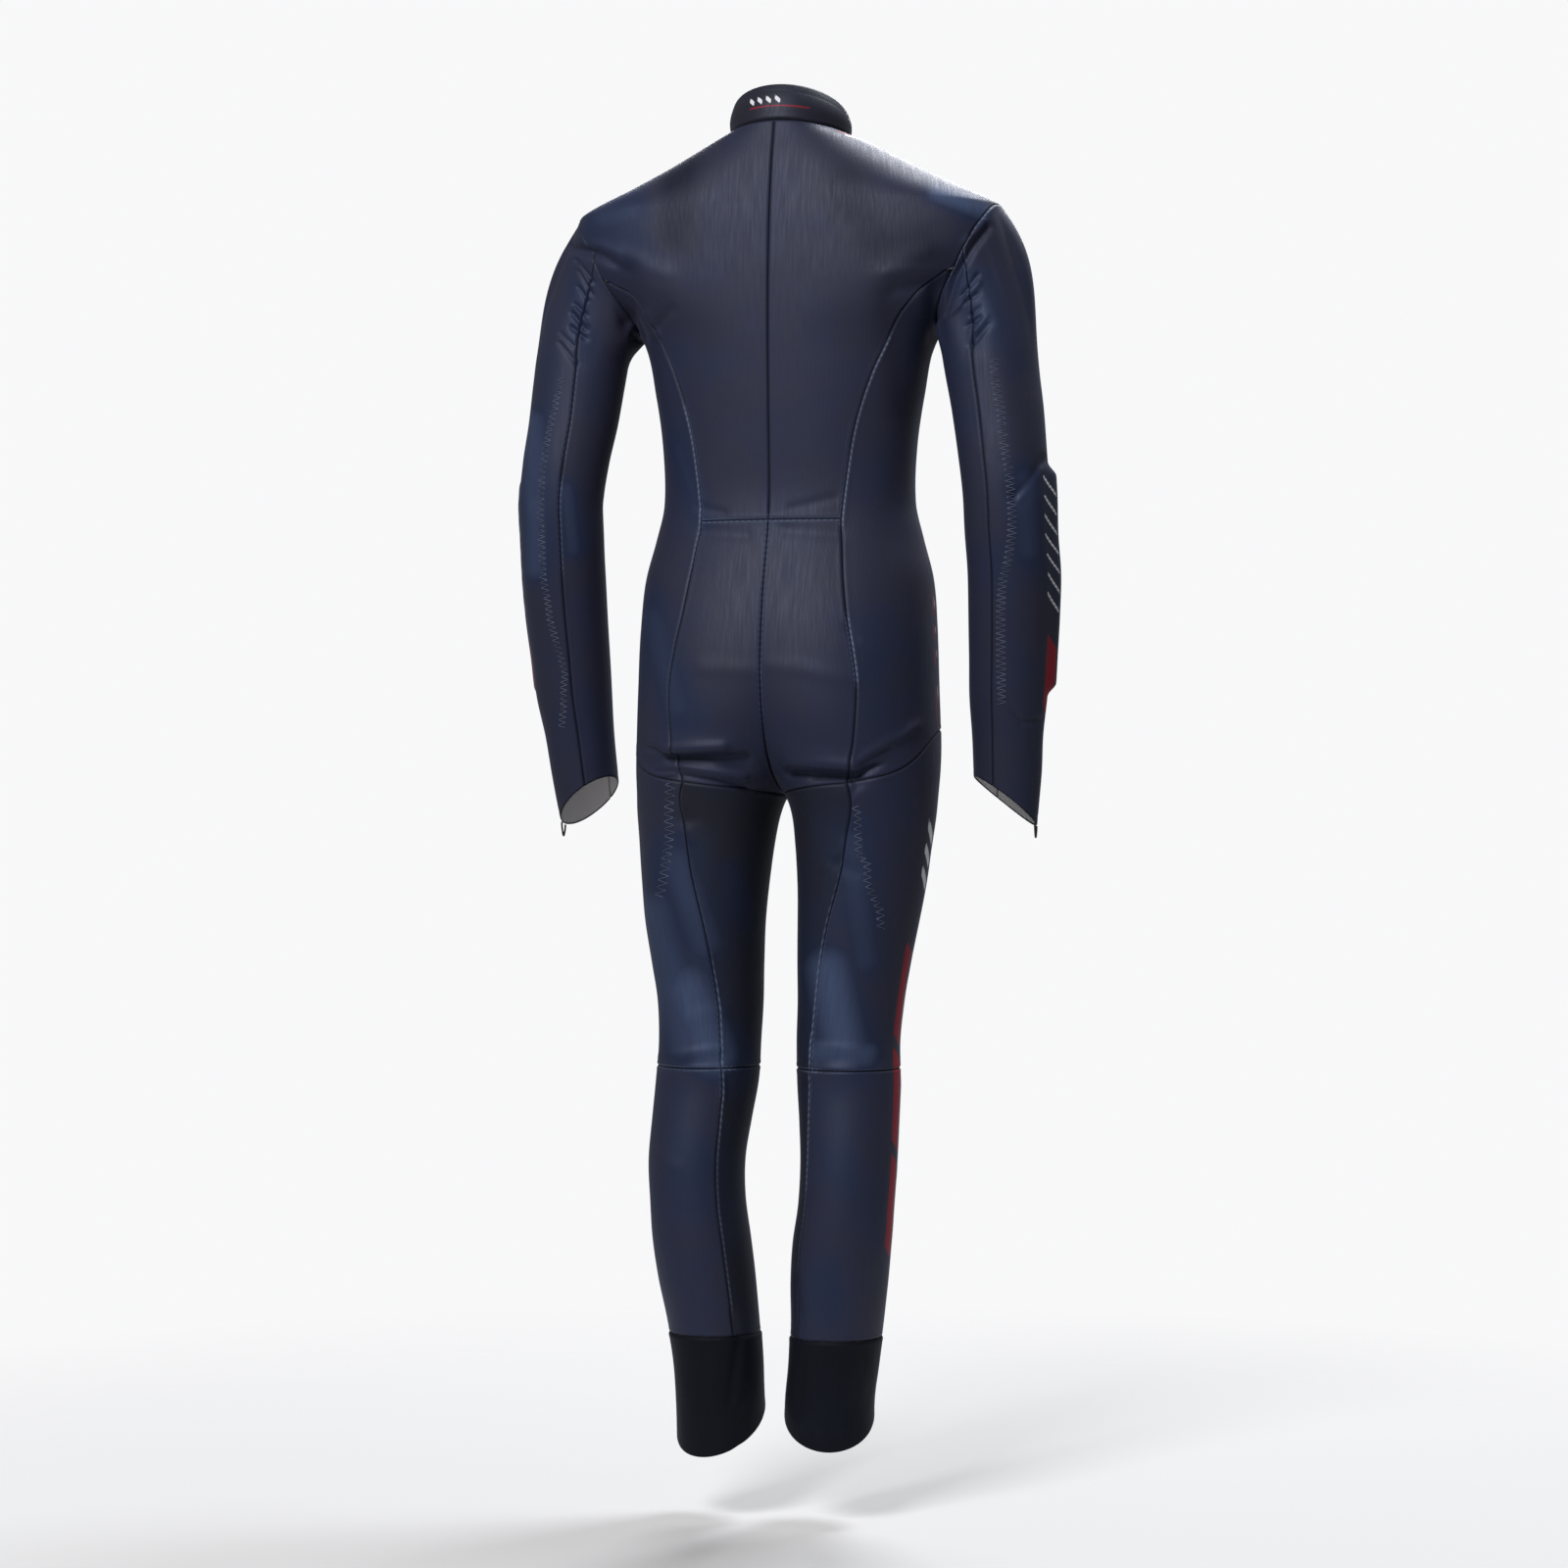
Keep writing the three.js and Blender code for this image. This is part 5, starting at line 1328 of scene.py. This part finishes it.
stitch_thread = thread_material()
for node, (width, pitch, middle) in ZIGZAGS.items():
    runs = zigzag_runs(sheets[node], width, pitch, middle)
    line = tubes(f"zigzag_{node}", runs, THREAD_RADIUS, THREAD_SIDES, stitch_thread)
    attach(line, "suit")

# Zip teeth: a coil's bars, by turns from the left and the right, down the middle of the tape.
TOOTH_PITCH, TOOTH_REACH, TOOTH_RADIUS, TOOTH_SIDES = 1.7, 2.1, 0.55, 6
TOOTH_ACROSS = TOOTH_REACH * np.outer((-0.5, 0.3, 0.75, 1), (1, 0, 0))
TOOTH_LIFT = np.array((0.75, 0.8, 0.55, 0.0))[:, None]
ZIP_TOP_GAP, ZIP_FOOT_GAP = 14, 4


def zip_teeth():
    places, ways = spaced(zip_line, ZIP_TOP_GAP, ZIP_FOOT_GAP, TOOTH_PITCH / 2, zip_line, zip_ways)
    runs = []
    for k, (place, way) in enumerate(zip(places, unit(ways))):
        across = TOOTH_ACROSS if k % 2 else -TOOTH_ACROSS
        runs.append((place + across + TOOTH_LIFT * way, np.tile(way, (len(TOOTH_LIFT), 1))))
    return tubes("zip_teeth", runs, TOOTH_RADIUS, TOOTH_SIDES, HARD["zip_pull_tab"])


# Hard pieces keep their solids and get their own materials.
def plain(name, colour, roughness, metallic, grain):
    material, web, shader = fresh(name)
    noise = web.noise(web.place(), grain, 5.0)
    web.feed(shader, {
        "Base Color": web.blended(noise, colour, tuple(0.7 * value for value in colour)),
        "Roughness": web.mapped(noise, 0.3, 0.7, roughness - 0.08, roughness + 0.1),
        "Metallic": metallic, "Normal": web.bump(noise, 0.15, 0.0002),
    })
    return material


HARD = {
    "zip_slider": plain("slider_metal", (0.56, 0.57, 0.6), 0.32, 1.0, 900.0),
    "zip_pull_tab": plain("pull_plastic", (0.022, 0.022, 0.03), 0.4, 0.0, 1400.0),
    "finger_loop_right": plain("elastic", (0.014, 0.014, 0.018), 0.75, 0.0, 2500.0),
}
HARD["finger_loop_left"] = HARD["finger_loop_right"]
teeth = zip_teeth()
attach(teeth, "suit")
for node, material in HARD.items():
    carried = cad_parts[node]
    carried.data.materials.clear()
    carried.data.materials.append(material)

# Floor, light and camera.
FLOOR_LEVEL, FLOOR_FADE = -1.47, (0.3, 1.6)
LIGHTS_AIM = Vector((0, 0, -0.6))
LIGHTS = {
    "key": ((-0.7, -3.4, 1.9), 168, 1.4, (1, 0.99, 0.98)),
    "top": ((0.62, 0.95, 1.5), 54, 0.8, (0.96, 0.98, 1)),
    "front": ((-0.6, 3.3, 1.6), 120, 1.8, (1, 1, 1)),
}
PHOTO_WIDTH, SENSOR_WIDTH = 1600, 36


def pale_floor():
    bpy.ops.mesh.primitive_circle_add(
        vertices=96, radius=9, fill_type="NGON", location=(0, 0, FLOOR_LEVEL))
    floor = bpy.context.object
    floor.name = "floor"
    material, web, shader = fresh("pale_floor")
    away = web.make("ShaderNodeVectorMath", {0: web.place()}, "Value", operation="LENGTH")
    web.feed(shader, {"Base Color": (0.55, 0.55, 0.56), "Roughness": 0.9,
                      "Alpha": web.mapped(away, *FLOOR_FADE, 1.0, 0.0)})
    floor.data.materials.append(material)


def surroundings():
    world = bpy.data.worlds.new("studio")
    scene = bpy.context.scene
    scene.world = world
    scene.view_settings.view_transform = "Standard"
    web = Web(world)
    seen = web.make("ShaderNodeLightPath", {}, "Is Camera Ray")
    web.feed(web.nodes["Background"], {"Color": (0.94, 0.94, 0.95),
                                       "Strength": web.mapped(seen, 0.0, 1.0, 0.22, 1.0)})


def lamps():
    for name, (place, power, size, colour) in LIGHTS.items():
        data = bpy.data.lights.new(name, "AREA")
        data.energy, data.size, data.color = power, size, colour
        lamp = linked(name, data)
        lamp.location = place
        lamp.rotation_euler = (LIGHTS_AIM - lamp.location).to_track_quat("-Z", "Y").to_euler()


def photographed():
    data = bpy.data.cameras.new("camera")
    data.sensor_width = SENSOR_WIDTH
    data.lens = SENSOR_WIDTH * CAMERA["focal"] / PHOTO_WIDTH
    camera = linked("camera", data)
    aside = -(CAMERA["across"] - PHOTO_WIDTH / 2) * CAMERA["distance"] / CAMERA["focal"]
    spot = CAMERA["distance"] * TO_CAMERA + aside * ACROSS
    camera.location = (spot[0] * MM, spot[1] * MM, CAMERA["level"] * MM)
    camera.rotation_euler = (math.radians(90), 0, TURN)
    bpy.context.scene.camera = camera


pale_floor()
surroundings()
lamps()
photographed()
